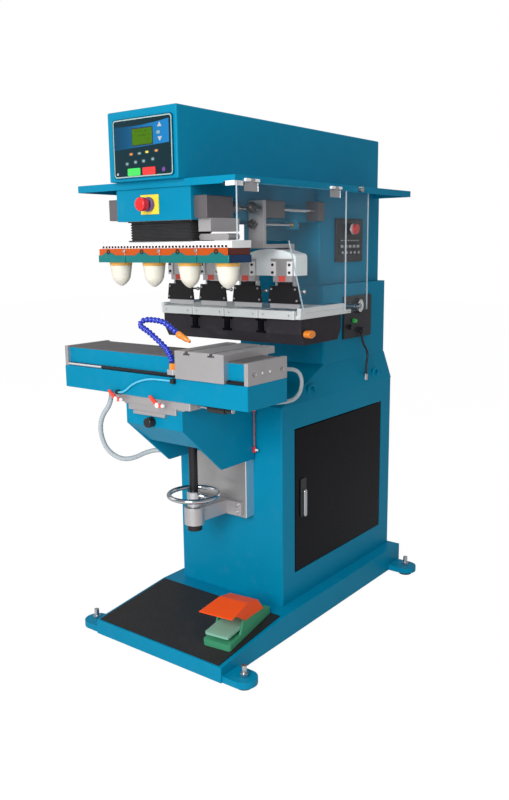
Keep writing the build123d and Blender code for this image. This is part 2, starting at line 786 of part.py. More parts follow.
holder_pitch = 2 * (tray_half - 14) / pad_count
with BuildPart() as plate_holders:
    for i in range(pad_count):
        x = (i - (pad_count - 1) / 2) * holder_pitch
        half = holder_pitch / 2 - 2
        block((x - half, x + half), (tray_front, plate_rear), (tray_low + tray_thickness, plate_top))
        block(
            (x - well_size[0] / 2, x + well_size[0] / 2), (plate_rear - 12 - well_size[1], plate_rear - 12),
            (plate_top - well_size[2], plate_top + 1), Mode.SUBTRACT,
        )

with BuildPart() as plate_fronts:
    for i in range(pad_count):
        x = (i - (pad_count - 1) / 2) * holder_pitch
        half = holder_pitch / 2 - 2
        block((x - half, x + half), (tray_front - 12, tray_front), (tray_low, plate_top))
    fillet(plate_fronts.edges().filter_by(Axis.X).group_by(Axis.Y)[0], 1.5)

with BuildPart() as ink_trough:
    with BuildSketch(Plane.YZ.offset(-trough_half)):
        with BuildLine():
            Polyline(
                (trough_front, tray_low), (trough_front, tray_low - 46), (trough_front + 20, trough_low),
                (40, trough_low), (60, tray_low - 46), (60, tray_low), close=True,
            )
        make_face()
    extrude(amount=2 * trough_half)
    for i in range(pad_count - 1):
        x = (i - (pad_count - 2) / 2) * holder_pitch
        block((x - 9, x + 9), (trough_front - 5, trough_front), (tray_low - 44, tray_low))
    with BuildSketch(Plane.YZ.offset(-trough_half + 3)):
        with BuildLine():
            Polyline(
                (trough_front + 3, tray_low - 3), (trough_front + 3, tray_low - 45),
                (trough_front + 21, trough_low + 3), (38, trough_low + 3), (57, tray_low - 45),
                (57, tray_low - 3), close=True,
            )
        make_face()
    extrude(amount=2 * trough_half - 6, mode=Mode.SUBTRACT)

knob_place = (trough_half, -151.0, 985.0)
with BuildPart() as trough_knob:
    rod_along("x", knob_place, 8, 8)
    with BuildSketch(Plane(origin=(trough_half + 8, knob_place[1], knob_place[2]), x_dir=(0, 1, 0), z_dir=(1, 0, 0))):
        Ellipse(20, 12)
    extrude(amount=20)
    fillet(trough_knob.edges().group_by(Axis.X)[-1], 4)

# ---- slideway, screw bearing and elevating screw ----------------------------------
with BuildPart() as slideway_plate:
    block((-slideway_half, slideway_half), (slideway_front, cabinet_front), (slideway_low, slideway_top))
    chamfer(slideway_plate.edges().filter_by(Axis.Z).group_by(Axis.Y)[0], 2)

bracket_low = slideway_low + 8
with BuildPart() as screw_bracket:
    rod_along("z", (0, screw_y, boss_low), boss_top - boss_low, boss_radius)
    with BuildSketch(Plane.XY.offset(bracket_low)):
        with BuildLine():
            Polyline(
                (-20, screw_y), (20, screw_y), (34, slideway_front - 12), (92, slideway_front - 12),
                (92, slideway_front), (-92, slideway_front), (-92, slideway_front - 12),
                (-34, slideway_front - 12), close=True,
            )
        make_face()
    extrude(amount=44)
    rod_along("z", (0, screw_y, boss_low - 1), boss_top - boss_low + 2, screw_radius + running_fit, Mode.SUBTRACT)
    fillet(screw_bracket.edges().filter_by(GeomType.CIRCLE).group_by(Axis.Z)[-1], 2)

with BuildPart() as bracket_screws:
    with Locations(*[
        Location((side * 76, slideway_front - 12, z), (90, 0, 0))
        for side in (-1, 1) for z in (bracket_low + 11, bracket_low + 33)
    ]):
        Cylinder(6, 6, align=(Align.CENTER, Align.CENTER, Align.MIN))

with BuildPart() as elevating_screw:
    rod_along("z", (0, screw_y, boss_low - 8), screw_top - boss_low + 8, screw_radius)
    chamfer(elevating_screw.edges().group_by(Axis.Z)[-1], 3)

with BuildPart() as screw_nuts:
    with BuildSketch(Plane.XY.offset(boss_low - 20)):
        with Locations((0, screw_y)):
            Circle(24)
    extrude(amount=20 - seat_gap)
    with BuildSketch(Plane.XY.offset(boss_top + seat_gap)):
        with Locations((0, screw_y)):
            Circle(22)
    extrude(amount=11)
    rod_along("z", (0, screw_y, boss_low - 8), 80, screw_radius, Mode.SUBTRACT)

hub_low = boss_top + seat_gap + 11
with BuildPart() as handwheel:
    rod_along("z", (0, screw_y, hub_low), wheel_z + 12 - hub_low, 22)
    with Locations((0, screw_y, wheel_z)):
        Torus(wheel_radius - wheel_rim, wheel_rim)
    with Locations(*[Location((0, screw_y, wheel_z), (0, 90, angle)) for angle in (30, 150, 270)]):
        Cylinder(6, wheel_radius - wheel_rim, align=(Align.CENTER, Align.CENTER, Align.MIN))
    rod_along("z", (0, screw_y, hub_low - 1), wheel_z + 14 - hub_low, screw_radius, Mode.SUBTRACT)

# ---- knee -------------------------------------------------------------------------
knee_inner = knee_half - knee_plate
with BuildPart() as knee_sides:
    for side in (-1, 1):
        left, right = sorted((side * knee_half, side * knee_inner))
        with BuildSketch(Plane.YZ.offset(left)):
            with BuildLine():
                Polyline(
                    (knee_front, knee_top), (knee_front, knee_fold), (-352, knee_low),
                    (cabinet_front - 8, knee_low), (cabinet_front - 8, knee_top), close=True,
                )
            make_face()
        extrude(amount=right - left)

with BuildPart() as knee_frame:
    with BuildSketch(Plane.YZ.offset(-knee_inner)):
        with BuildLine():
            Polyline(
                (knee_front, knee_top), (knee_front, knee_fold), (-440, nut_low),
                (slideway_front - seat_gap, nut_low),
                (slideway_front - seat_gap, nut_low + 14), (-436, nut_low + 14),
                (knee_front + 8, knee_fold + 5), (knee_front + 8, knee_top - 8),
                (slideway_front - seat_gap, knee_top - 8), (slideway_front - seat_gap, knee_top), close=True,
            )
        make_face()
    extrude(amount=2 * knee_inner)
    rod_along("z", (0, screw_y, nut_low - 1), 16, screw_radius + 6, Mode.SUBTRACT)

with BuildPart() as slide_saddle:
    block(
        (-knee_inner, knee_inner), (slideway_front - seat_gap - 16, slideway_front - seat_gap),
        (knee_low + 10, nut_low),
    )

with BuildPart() as knee_nut:
    rod_along("z", (0, screw_y, nut_low - 14), 36, screw_radius + 6)
    rod_along("z", (0, screw_y, nut_low - 15), 38, screw_radius + running_fit, Mode.SUBTRACT)

lock_place = (-6.0, knee_front, knee_fold + 15)
with BuildPart() as knee_lock_knob:
    rod_along("y", (lock_place[0], knee_front - 24, lock_place[2]), 24, 15)
    fillet(knee_lock_knob.edges().group_by(Axis.Y)[0], 4)

# ---- cross slide ------------------------------------------------------------------
saddle_top = knee_top + 7.0
cross_low = saddle_top + seat_gap
cross_screw = (-500.0, 806.5, 5.0)           # depth, height and radius of the cross screw
pocket_span = (38.0, 102.0)
nut_span = (60.0, 80.0)

with BuildPart() as saddle_base:
    block((-120, 120), (knee_front, -300), (knee_top, saddle_top))
    block((-72, 56), (knee_front - 12, knee_front), (knee_top - 24, knee_top - 14))
    block((-96, 96), (knee_front - 7, knee_front), (knee_top - 14, saddle_top))
    block(nut_span, (cross_screw[0] - 10, cross_screw[0] + 10), (saddle_top, cross_screw[1] + 9))
    rod_along(
        "x", (nut_span[0] - 1, cross_screw[0], cross_screw[1]), 22,
        cross_screw[2] + running_fit, Mode.SUBTRACT,
    )

with BuildPart() as cross_plate:
    block((-cross_plate_half, cross_plate_half), (knee_front - 12, -300), (cross_low, bed_low))
    fillet(cross_plate.edges().filter_by(Axis.Z), 3)
    block(pocket_span, (cross_screw[0] - 12, cross_screw[0] + 12), (cross_low - 1, bed_low - 2), Mode.SUBTRACT)
    rod_along(
        "x", (pocket_span[1] - 1, cross_screw[0], cross_screw[1]), cross_plate_half,
        cross_screw[2] + running_fit, Mode.SUBTRACT,
    )

grip_start = cross_plate_half + 40.0
with BuildPart() as cross_knob:
    rod_along(
        "x", (pocket_span[0] + 4, cross_screw[0], cross_screw[1]),
        grip_start - pocket_span[0], cross_screw[2],
    )
    with BuildSketch(Plane(origin=(grip_start, cross_screw[0], cross_screw[1]), x_dir=(0, 1, 0), z_dir=(1, 0, 0))):
        Circle(12.5)
    extrude(amount=60)
    fillet(cross_knob.faces().sort_by(Axis.X)[-1].edges(), 2)
    rod_along("x", (grip_start + 60, cross_screw[0], cross_screw[1]), 26, 8)
    fillet(cross_knob.faces().sort_by(Axis.X)[-1].edges(), 2)

lever_places = (-125.0, 45.0)
lever_height = cross_low + 8.7
lever_face = knee_front - 12


def clamp_lever(x):
    """Stud and boss of a clamping lever, with a long arm up to the left and a short one to the right."""
    rod_along("y", (x, lever_face - 12, lever_height), 12, 4)
    rod_along("y", (x, lever_face - 21, lever_height), 10, 8)
    for reach, angle in ((34, 140), (22, 0)):
        lean = math.radians(angle)
        tip = (x + reach * math.cos(lean), lever_height + reach * math.sin(lean))
        with BuildSketch(front_plane(lever_face - 15)) as arm:
            with Locations(((x + tip[0]) / 2, (lever_height + tip[1]) / 2)):
                Rectangle(reach, 8, rotation=angle)
            with Locations(tip):
                Circle(5.5)
        extrude(arm.sketch, amount=6)


with BuildPart() as clamp_lever_left:
    clamp_lever(lever_places[0])
with BuildPart() as clamp_lever_right:
    clamp_lever(lever_places[1])

# ---- shuttle bed, rail and carriage -----------------------------------------------
rail_rod = (-536.0, 893.0, 4.0)              # depth, height and radius of the guide rod
cover_half = 350.0
cover_front = -530.0
cover_rear = -374.0

with BuildPart() as shuttle_bed:
    block((-bed_half, bed_half), (bed_front, bed_rear), (bed_low, bed_top))
    fillet(shuttle_bed.edges().filter_by(Axis.X).group_by(Axis.Z)[-1], 3)
    block(
        (-bed_half + frame_sheet, bed_half - frame_sheet), (bed_front + frame_sheet, bed_rear - frame_sheet),
        (bed_low + frame_sheet, bed_top - frame_sheet), Mode.SUBTRACT,
    )

with BuildPart() as rail_core:
    block((-cover_half + 5, cover_half - 5), (cover_front + 15, cover_rear - 15), (bed_top, cover_low))

with BuildPart() as rail_cover:
    block((-cover_half, cover_half), (cover_front, cover_rear), (cover_low, cover_top))
    block(
        (-cover_half + 5, cover_half - 5), (cover_front + 4, cover_rear - 4),
        (cover_low + 4, cover_top - 4), Mode.SUBTRACT,
    )

with BuildPart() as rail_top:
    block((-cover_half, cover_half), (cover_front, cover_rear), (cover_top, cover_top + cover_plate))

with BuildPart() as rail_ends:
    for side in (-1, 1):
        block(
            tuple(sorted((side * cover_half, side * bed_half))),
            (bed_front + 2, bed_rear), (bed_top, cover_top + cover_plate + 1),
        )
        hole_height = centred(bed_top, cover_top)
        with Locations(*[
            Location((side * bed_half, y, hole_height), (0, side * 90, 0)) for y in (bed_front + 30, bed_rear - 24)
        ]):
            CounterBoreHole(4, 7.5, 5, depth=8)
        with Locations(*[
            Location((side * bed_half, y, hole_height), (0, side * 90, 0)) for y in (bed_front + 66, bed_front + 100)
        ]):
            Cylinder(6, 2.5, align=(Align.CENTER, Align.CENTER, Align.MAX), mode=Mode.SUBTRACT)
            Cylinder(4.5, 2.5, align=(Align.CENTER, Align.CENTER, Align.MAX))

with BuildPart() as rail_rod_bar:
    rod_along("x", (-cover_half, rail_rod[0], rail_rod[1]), 2 * cover_half, rail_rod[2])

apron_front = (carriage_front, carriage_front + 6)
apron_rear = (cover_rear + 16, cover_rear + 22)
apron_foot = bed_top + 1.0
tongue_top = bed_top + 12.0
carriage_span = (carriage_left, carriage_left + carriage_width)
slot_places = (carriage_left + 44, carriage_left + carriage_width - 44)
with BuildPart() as carriage_table:
    block(carriage_span, (carriage_front, carriage_rear), (carriage_low, carriage_top))
    chamfer(carriage_table.edges().group_by(Axis.Z)[-1], 1)
    for x in slot_places:
        block(
            (x - slot_width / 2, x + slot_width / 2), (carriage_front - 1, carriage_rear + 1),
            (carriage_top - slot_depth, carriage_top + 1), Mode.SUBTRACT,
        )
        block(
            (x - slot_width, x + slot_width), (carriage_front - 1, carriage_rear + 1),
            (carriage_top - slot_depth, carriage_top - slot_depth + 5), Mode.SUBTRACT,
        )

with BuildPart() as carriage_aprons:
    block(carriage_span, apron_front, (apron_foot, carriage_low))
    block(carriage_span, apron_rear, (tongue_top, carriage_low))
    block(carriage_span, (apron_front[1], cover_front - seat_gap), (tongue_top, carriage_low))
    block(carriage_span, (cover_rear + seat_gap, apron_rear[0]), (tongue_top, carriage_low))
    block(carriage_span, (apron_front[1], cover_front - 1), (bed_top + seat_gap + 0.2, tongue_top))
    rod_along(
        "x", (carriage_left - 1, rail_rod[0], rail_rod[1]), carriage_width + 2,
        rail_rod[2] + running_fit, Mode.SUBTRACT,
    )

# ---- segmented air nozzle hose ----------------------------------------------------
hose_path = [
    (99, -546, 934), (91, -541, 952), (59, -530, 972), (22, -527, 994), (-14, -525, 1015),
    (-44, -520, 1022), (-56, -513, 1034), (-37, -506, 1043), (-8, -505, 1043), (31, -505, 1041),
    (61, -505, 1025), (88, -505, 1008),
]
nozzle_tip = (140.0, -505.0, 985.0)
hose_ball = 8.0
hose_pitch = 14.5

with BuildPart() as hose_block:
    block((carriage_left - 24, carriage_left), (-558, -534), (899, 926))
    fillet(hose_block.edges().filter_by(Axis.Z).group_by(Axis.X)[0], 6)
    rod_along("z", (99, -546, 926), 6, 9)

with BuildPart() as hose_line:
    with BuildLine():
        hose_curve = Spline(*hose_path)

hose_count = round(hose_curve.length / hose_pitch)
with BuildPart() as air_nozzle_hose:
    for i in range(hose_count + 1):
        with Locations(hose_curve @ (i / hose_count)):
            Sphere(hose_ball)
    nose_start = Vector(*hose_path[-1])
    nose = Vector(*nozzle_tip) - nose_start
    with BuildSketch(Plane(origin=nose_start, z_dir=nose)):
        Circle(hose_ball - 1)
    with BuildSketch(Plane(origin=nose_start + nose * 0.55, z_dir=nose)):
        Circle(hose_ball - 1)
    loft()
    with BuildSketch(Plane(origin=nose_start + nose * 0.55, z_dir=nose)):
        Circle(hose_ball - 1)
    with BuildSketch(Plane(origin=nose_start + nose, z_dir=nose)):
        Circle(3)
    loft()


# ---- cables and tubes -------------------------------------------------------------
def bend_radii(points):
    """Bend at each inner point, at most nine tenths of what its shorter run allows."""
    radii = []
    for before, here, after in zip(points, points[1:], points[2:]):
        first = Vector(*here) - Vector(*before)
        second = Vector(*after) - Vector(*here)
        half_turn = math.radians(first.get_angle(second)) / 2
        radii.append(0.45 * min(first.length, second.length) / math.tan(half_turn))
    return radii


cords = {
    "side_cable": (4.0, [
        (196, 342, 938), (196, 342, 910), (208, 372, 866), (210, 352, 818), (210, 352, 790),
    ]),
    "left_conduit": (8.0, [
        (-250, -455, 820), (-250, -455, 768), (-306, -455, 712), (-314, -455, 655),
        (-282, -455, 598), (-215, -436, 572), (-165, -362, 608), (-113, -362, 608),
    ]),
    "right_conduit": (6.0, [
        (330, -374, 905), (330, -318, 905), (330, -261, 893), (330, -238, 865), (330, -243, 830),
        (330, -272.5, 809), (330, -330, 809), (285, -383, 809), (215, -400, 809), (155, -400, 809),
    ]),
    "blue_air_tube": (3.0, [
        (-119, -548, 826), (-98, -548, 826), (-58, -548, 858), (4, -548, 878),
        (66, -548, 880), (97, -548, 880),
    ]),
}


def cord_section(points):
    """Sketch plane across a cord at its first point."""
    return Plane(origin=points[0], z_dir=Vector(*points[1]) - Vector(*points[0]))


with BuildPart() as side_cable:
    cord_radius, cord_points = cords["side_cable"]
    with BuildLine() as side_cable_path:
        FilletPolyline(*cord_points, radius=bend_radii(cord_points))
    with BuildSketch(cord_section(cord_points)):
        Circle(cord_radius)
    sweep(path=side_cable_path.wires()[0])

with BuildPart() as left_conduit:
    cord_radius, cord_points = cords["left_conduit"]
    with BuildLine() as left_conduit_path:
        FilletPolyline(*cord_points, radius=bend_radii(cord_points))
    with BuildSketch(cord_section(cord_points)):
        Circle(cord_radius)
    sweep(path=left_conduit_path.wires()[0])

with BuildPart() as right_conduit:
    cord_radius, cord_points = cords["right_conduit"]
    with BuildLine() as right_conduit_path:
        FilletPolyline(*cord_points, radius=bend_radii(cord_points))
    with BuildSketch(cord_section(cord_points)):
        Circle(cord_radius)
    sweep(path=right_conduit_path.wires()[0])

with BuildPart() as blue_air_tube:
    cord_radius, cord_points = cords["blue_air_tube"]
    with BuildLine() as blue_air_tube_path:
        FilletPolyline(*cord_points, radius=bend_radii(cord_points))
    with BuildSketch(cord_section(cord_points)):
        Circle(cord_radius)
    sweep(path=blue_air_tube_path.wires()[0])

with BuildPart() as tube_fittings:
    block((-131, -119), (-551.5, bed_front), (bed_low, 833))
    block((97, 110), (-555, bed_front), (873, 887))

# ---- keypad -----------------------------------------------------------------------
keypad_back = hood_front
keypad_face = hood_front - keypad_thickness


def front_rounded(box, y, amount, radius, mode=Mode.ADD):
    """Rounded rectangle facing the operator, extruded toward the operator from depth y."""
    left, right, low, high = box
    with BuildSketch(front_plane(y)) as outline:
        with Locations((centred(left, right), centred(low, high))):
            RectangleRounded(right - left, high - low, radius)
    extrude(outline.sketch, amount=amount, mode=mode)


arrow_keys = ((74, 1572), (69, 1552), (74, 1535))
option_keys = ((-36, 1502), (-4, 1502), (25, 1504), (60, 1505))
mode_keys = ((-53, 1477), (-20, 1480), (11, 1481), (46, 1484))
round_key = (85.0, 1455.0)
with BuildPart() as keypad_panel:
    front_rounded(keypad, keypad_back, keypad_thickness, 10)
    front_rounded(display, keypad_face, -2, 2, Mode.SUBTRACT)
    for box in (start_key_box, stop_key_box):
        left, right, low, high = box
        block(
            (left - seat_gap, right + seat_gap), (keypad_face - 1, keypad_back + 1),
            (low - seat_gap, high + seat_gap), Mode.SUBTRACT,
        )
    with BuildSketch(front_plane(keypad_face)):
        with Locations(*arrow_keys):
            RectangleRounded(13, 10, 3)
        with Locations(*option_keys, *mode_keys):
            RectangleRounded(22, 13, 3)
        with Locations(round_key):
            Circle(8)
    extrude(amount=0.8)

with BuildPart() as start_key:
    front_rounded(start_key_box, keypad_back - 2.2, keypad_thickness - 2.2 + key_proud, 3)
with BuildPart() as stop_key:
    front_rounded(stop_key_box, keypad_back - 2.2, keypad_thickness - 2.2 + key_proud, 3)

# ---- emergency stops --------------------------------------------------------------
estop_stem = 8.0
estop_travel = 5.0
side_estop = (295.0, 1302.0)
side_panel_face = upper_half + 8
with BuildPart() as estop_bases:
    plate_left = estop_center[0] - estop_plate[0] / 2
    plate_low_edge = estop_center[1] - estop_plate[1] / 2
    block(
        (plate_left, plate_left + estop_plate[0]), (arm_front - 3, arm_front),
        (plate_low_edge, plate_low_edge + estop_plate[1]),
    )
    rod_along("y", (estop_center[0], arm_front - 13, estop_center[1]), 10, 20)
    rod_along(
        "y", (estop_center[0], arm_front - 14, estop_center[1]), 15,
        estop_stem + running_fit, Mode.SUBTRACT,
    )

with BuildPart() as side_estop_base:
    rod_along("x", (side_panel_face, *side_estop), 8, 19)
    rod_along("x", (side_panel_face - 1, *side_estop), 10, estop_stem + running_fit, Mode.SUBTRACT)

with BuildPart() as estop_front:
    rod_along("y", (estop_center[0], arm_front - 26, estop_center[1]), 34, estop_stem)
    rod_along("y", (estop_center[0], arm_front - 45, estop_center[1]), 20, estop_radius)
    fillet(estop_front.faces().sort_by(Axis.Y)[0].edges(), 5)

with BuildPart() as estop_side:
    rod_along("x", (side_panel_face - 1.5, *side_estop), 25, estop_stem)
    rod_along("x", (side_panel_face + 15, *side_estop), 18, estop_radius - 1)
    fillet(estop_side.faces().sort_by(Axis.X)[-1].edges(), 5)

# ---- panels on the right of the column --------------------------------------------
with BuildPart() as side_panel:
    y_low, y_high, z_low, z_high = side_panel_box
    block((upper_half, side_panel_face), (y_low, y_high), (z_low, z_high))
    chamfer(side_panel.edges().group_by(Axis.X)[-1], 2)
    for z in switch_rows:
        block((side_panel_face, side_panel_face + 5), (y_low + 18, y_high - 19), (z - 7, z + 7))
    rod_along("x", (side_panel_face - 7, *side_estop), 8, estop_stem + running_fit, Mode.SUBTRACT)

with BuildPart() as air_panel:
    y_low, y_high, z_low, z_high = air_panel_box
    block((lower_half, lower_half + 8), (y_low, y_high), (z_low, z_high))
    chamfer(air_panel.edges().group_by(Axis.X)[-1], 2)
    rod_along("x", (lower_half + 8, 330, 1036), 8, 27)
    block((lower_half + 8, lower_half + 26), (332, 352), (938, 958))
    rod_along("x", (lower_half + 8, 268, 965), 14, 9)

# ---- transparent guards -----------------------------------------------------------
guard_sheet = 5.0
guard_hinge = (canopy_half + 5.0, canopy_top - 12.0)        # x and z of the hinge axis
hinge_places = (-440.0, -20.0)
knuckle_radius = 4.5
hinge_pin_radius = 2.5
guard_top = guard_hinge[1] - 6
guard_plane_x = guard_hinge[0] - guard_sheet / 2
guard_step = 1263.0
guard_foot = (-195.0, 40.0, 1052.0)          # front and rear depth, and height, of the lower edge
with BuildPart() as front_guard:
    with BuildSketch(Plane.YZ.offset(guard_plane_x)):
        with BuildLine():
            Polyline(
                (canopy_front, guard_top), (canopy_front, guard_step), (guard_foot[0] - 77, guard_step),
                (guard_foot[0], guard_foot[2]), (guard_foot[1], guard_foot[2]), (guard_foot[1], guard_top),
                close=True,
            )
        make_face()
    extrude(amount=guard_sheet)
    for y in hinge_places:
        block((guard_plane_x - 1.5, guard_plane_x), (y - 30, y + 30), (guard_top - 22, guard_top))
        block((guard_hinge[0] - 1, guard_hinge[0] + 1), (y - 9.7, y + 9.7), (guard_top - 1, guard_hinge[1]))
        rod_along("y", (guard_hinge[0], y - 9.7, guard_hinge[1]), 19.4, knuckle_radius)
        rod_along(
            "y", (guard_hinge[0], y - 11, guard_hinge[1]), 22, hinge_pin_radius + running_fit, Mode.SUBTRACT,
        )

with BuildPart() as guard_hinges:
    for y in hinge_places:
        for start in (y - 30, y + 10):
            rod_along("y", (guard_hinge[0], start, guard_hinge[1]), 20, knuckle_radius)
            block((canopy_half, guard_hinge[0]), (start, start + 20), (guard_hinge[1] - 1, guard_hinge[1] + 1))
        rod_along("y", (guard_hinge[0], y - 30, guard_hinge[1]), 60, hinge_pin_radius)

with BuildPart() as rear_guard:
    block(
        (canopy_half - canopy_sheet - 5, canopy_half - canopy_sheet), (56, 196),
        (1037, canopy_top - canopy_sheet),
    )

with BuildPart() as rear_guard_clamps:
    rod_along("x", (lower_half, 130, 1052), canopy_half - canopy_sheet - 5 - lower_half, 6)
    rod_along("x", (canopy_half - canopy_sheet, 130, 1052), 12, 9)
    rod_along("x", (canopy_half, 126, canopy_top - 10), 14, 9)

# ---- foot pedal -------------------------------------------------------------------
pedal_slope = math.degrees(math.atan2(base_top - footrest_front_top, footrest_back - base_front))
pedal_rest = footrest_height(pedal_center[1]) + mat_thickness
pedal_place = Location((pedal_center[0], pedal_center[1], pedal_rest), (pedal_slope, 0, pedal_turn))
pedal_front = -pedal_size[1] / 2
pedal_rear = pedal_size[1] / 2
pedal_half = pedal_size[0] / 2
pedal_slab = 20.0
treadle_axis = (84.0, 30.0)                  # pedal depth and height of the treadle's pin
treadle_half = pedal_half - 7
cheek_inner = treadle_half + 1
with BuildPart() as pedal_base:
    with BuildSketch(Plane.XY):
        with Locations((0, centred(pedal_front, pedal_rear))):
            Rectangle(2 * pedal_half, pedal_rear - pedal_front)
        fillet(vertices(), 8)
    extrude(amount=pedal_slab)
    for side in (-1, 1):
        left, right = sorted((side * cheek_inner, side * pedal_half))
        with BuildSketch(Plane.YZ.offset(left)):
            with BuildLine():
                Polyline(
                    (pedal_front + 62, pedal_slab - 1), (pedal_front + 92, 66), (50, 55), (66, 38),
                    (treadle_axis[0] + 10, 38), (pedal_rear - 10, pedal_slab - 1), close=True,
                )
            make_face()
        extrude(amount=right - left)
    rod_along("x", (-cheek_inner, treadle_axis[0], treadle_axis[1]), 2 * cheek_inner, 4)

hood_sheet = 3.0
hood_front = pedal_front + 10
hood_flare = 8.5                             # how much further the hood's front stands out on each side


def hood_block(inset):
    """The hood's outline as a solid, drawn in by the sheet's thickness or by nothing."""
    reach = 20 * (inset > 0)
    half = pedal_half + hood_sheet - inset
    with BuildPart() as made:
        with BuildSketch(Plane.YZ.offset(-pedal_half - 30)) as side_view:
            with BuildLine():
                if inset:
                    Polyline(
                        (hood_front - reach, 102), (-10, 101), (44.3, 83.7), (73.5, 38.4), (80, 28),
                        (hood_front - reach, 28), close=True,
                    )
                else:
                    Polyline(
                        (hood_front, 102), (hood_front, 105), (-10, 104), (47, 86), (76, 40), (-32, 57),
                        (hood_front + 24, 101.8), close=True,
                    )
            make_face()
        extrude(side_view.sketch, amount=2 * pedal_half + 60)
        with BuildSketch(Plane.XY) as top_view:
            with BuildLine():
                Polyline(
                    (-half - hood_flare, hood_front - reach / 20), (half + hood_flare, hood_front - reach / 20),
                    (half, 0), (half, 90), (-half, 90), (-half, 0), close=True,
                )
            make_face()
        extrude(top_view.sketch, amount=120, mode=Mode.INTERSECT)
    return made.part


with BuildPart() as pedal_hood:
    add(hood_block(0))
    add(hood_block(hood_sheet), mode=Mode.SUBTRACT)

with BuildPart() as treadle:
    with BuildSketch(Plane.YZ.offset(-treadle_half)):
        with BuildLine():
            Polyline(
                (treadle_axis[0] - 10, treadle_axis[1] - 5), (treadle_axis[0], treadle_axis[1] - 8),
                (treadle_axis[0] + 8, treadle_axis[1]), (treadle_axis[0], treadle_axis[1] + 8),
                (pedal_front + 4, pedal_slab + 24), (pedal_front + 4, pedal_slab + 16), close=True,
            )
        make_face()
    extrude(amount=2 * treadle_half)
    fillet(treadle.edges().filter_by(Axis.Z), 6)
    rod_along(
        "x", (-treadle_half - 1, treadle_axis[0], treadle_axis[1]), 2 * treadle_half + 2,
        4 + running_fit, Mode.SUBTRACT,
    )

# ---- nodes: pieces that are one bought or welded unit share a node -----------------
nodes = {
    "base_frame": [base_frame],
    "levelling_feet": [levelling_feet, levelling_nuts],
    "floor_mat": [floor_mat],
    "cabinet_shell": [cabinet_shell, door_pivots],
    "control_equipment": [
        equipment_plate, wiring_rails, controller_units, terminal_blocks, valve_manifold,
    ],
    "lower_column": [shoulder, lower_column],
    "upper_column": [upper_column],
    "canopy_plate": [canopy_plate, guard_hinges],
    "hood_cover": [hood_cover],
    "arm_sides": [arm_sides],
    "arm_front_cover": [arm_front_cover],
    "guide_rails": [head_rails, guide_rods],
    "guide_bearings": [guide_bearings, guide_bushes, link_bracket, link_bush],
    "keypad_panel": [keypad_panel],
    "estop_bases": [estop_bases, side_estop_base],
    "side_panels": [side_panel, air_panel],
    "rear_guard": [rear_guard, rear_guard_clamps],
    "tray_frame": [tray_frame],
    "plate_holders": [plate_holders, plate_fronts],
    "ink_trough": [ink_trough],
    "slideway_plate": [slideway_plate, screw_bracket, bracket_screws],
    "pedal_base": [pedal_base],
    "pedal_hood": [pedal_hood],
    "side_cable": [side_cable],
    "cabinet_door": [cabinet_door, latch_cup],
    "latch_handle": [latch_handle, latch_cam],
    "head_carriage": [head_carriage, lift_cylinder],
    "bellows": [bellows],
    "pad_plate": [pad_plate, lift_rod, guide_posts],
    "pad_clamp_bar": [pad_clamp_bar, clamp_screws],
    "pad_holders": [pad_holders],
    "pads": [pad_bases, pads],
    "doctor_hangers": [doctor_slides, doctor_hangers],
    "link_rod": [link_rod, star_knob, clamp_ball_knob],
    "doctor_beam": [doctor_beam],
    "doctor_units": [doctor_units, unit_clamps, blade_pivots],
    "blade_holders": [blade_holders, blades, blade_levers],
    "knee_frame": [knee_frame, slide_saddle, knee_nut, saddle_base],
    "knee_sides": [knee_sides],
    "elevating_screw": [elevating_screw, screw_nuts],
    "handwheel": [handwheel],
    "knee_lock_knob": [knee_lock_knob],
    "cross_plate": [cross_plate],
    "cross_knob": [cross_knob],
    "clamp_lever_left": [clamp_lever_left],
    "clamp_lever_right": [clamp_lever_right],
    "shuttle_bed": [shuttle_bed, rail_core, tube_fittings],
    "rail_cover": [rail_cover, rail_top, rail_ends, rail_rod_bar],
    "shuttle_carriage": [carriage_table, carriage_aprons],
    "air_nozzle_hose": [hose_block, air_nozzle_hose],
    "estop_front": [estop_front],
    "estop_side": [estop_side],
    "start_key": [start_key],
    "stop_key": [stop_key],
    "treadle": [treadle],
    "front_guard": [front_guard],
    "trough_knob": [trough_knob],
    "left_conduit": [left_conduit],
    "right_conduit": [right_conduit],
    "blue_air_tube": [blue_air_tube],
}
on_footrest = ("pedal_base", "pedal_hood", "treadle")

for name, pieces in nodes.items():
    solids = [solid for piece in pieces for solid in piece.part.solids()]
    node = solids[0] if len(solids) == 1 else Compound(solids)
    if name in on_footrest:
        node = node.moved(pedal_place)
    node.label = name
    export_step(node, f"parts/{name}.step")

for name, (cord_radius, cord_points) in cords.items():
    print(name, "bend radii", [round(value, 1) for value in bend_radii(cord_points)])
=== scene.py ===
"""Looks of a four-colour pad printing machine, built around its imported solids.

Run as a script, it dresses the frame with finishes and detailed pieces. The axes are the
frame's: X to the operator's right, Y to the rear, Z up. Pieces are written in millimetres; the
stage, the finishes and the lines of the cords and the hose are written in metres.
"""
import json
import math

import bmesh
import bpy
import numpy as np
from bpy.props import FloatProperty, FloatVectorProperty, IntProperty, PointerProperty
from mathutils import Matrix, Vector
from mathutils.geometry import tessellate_polygon


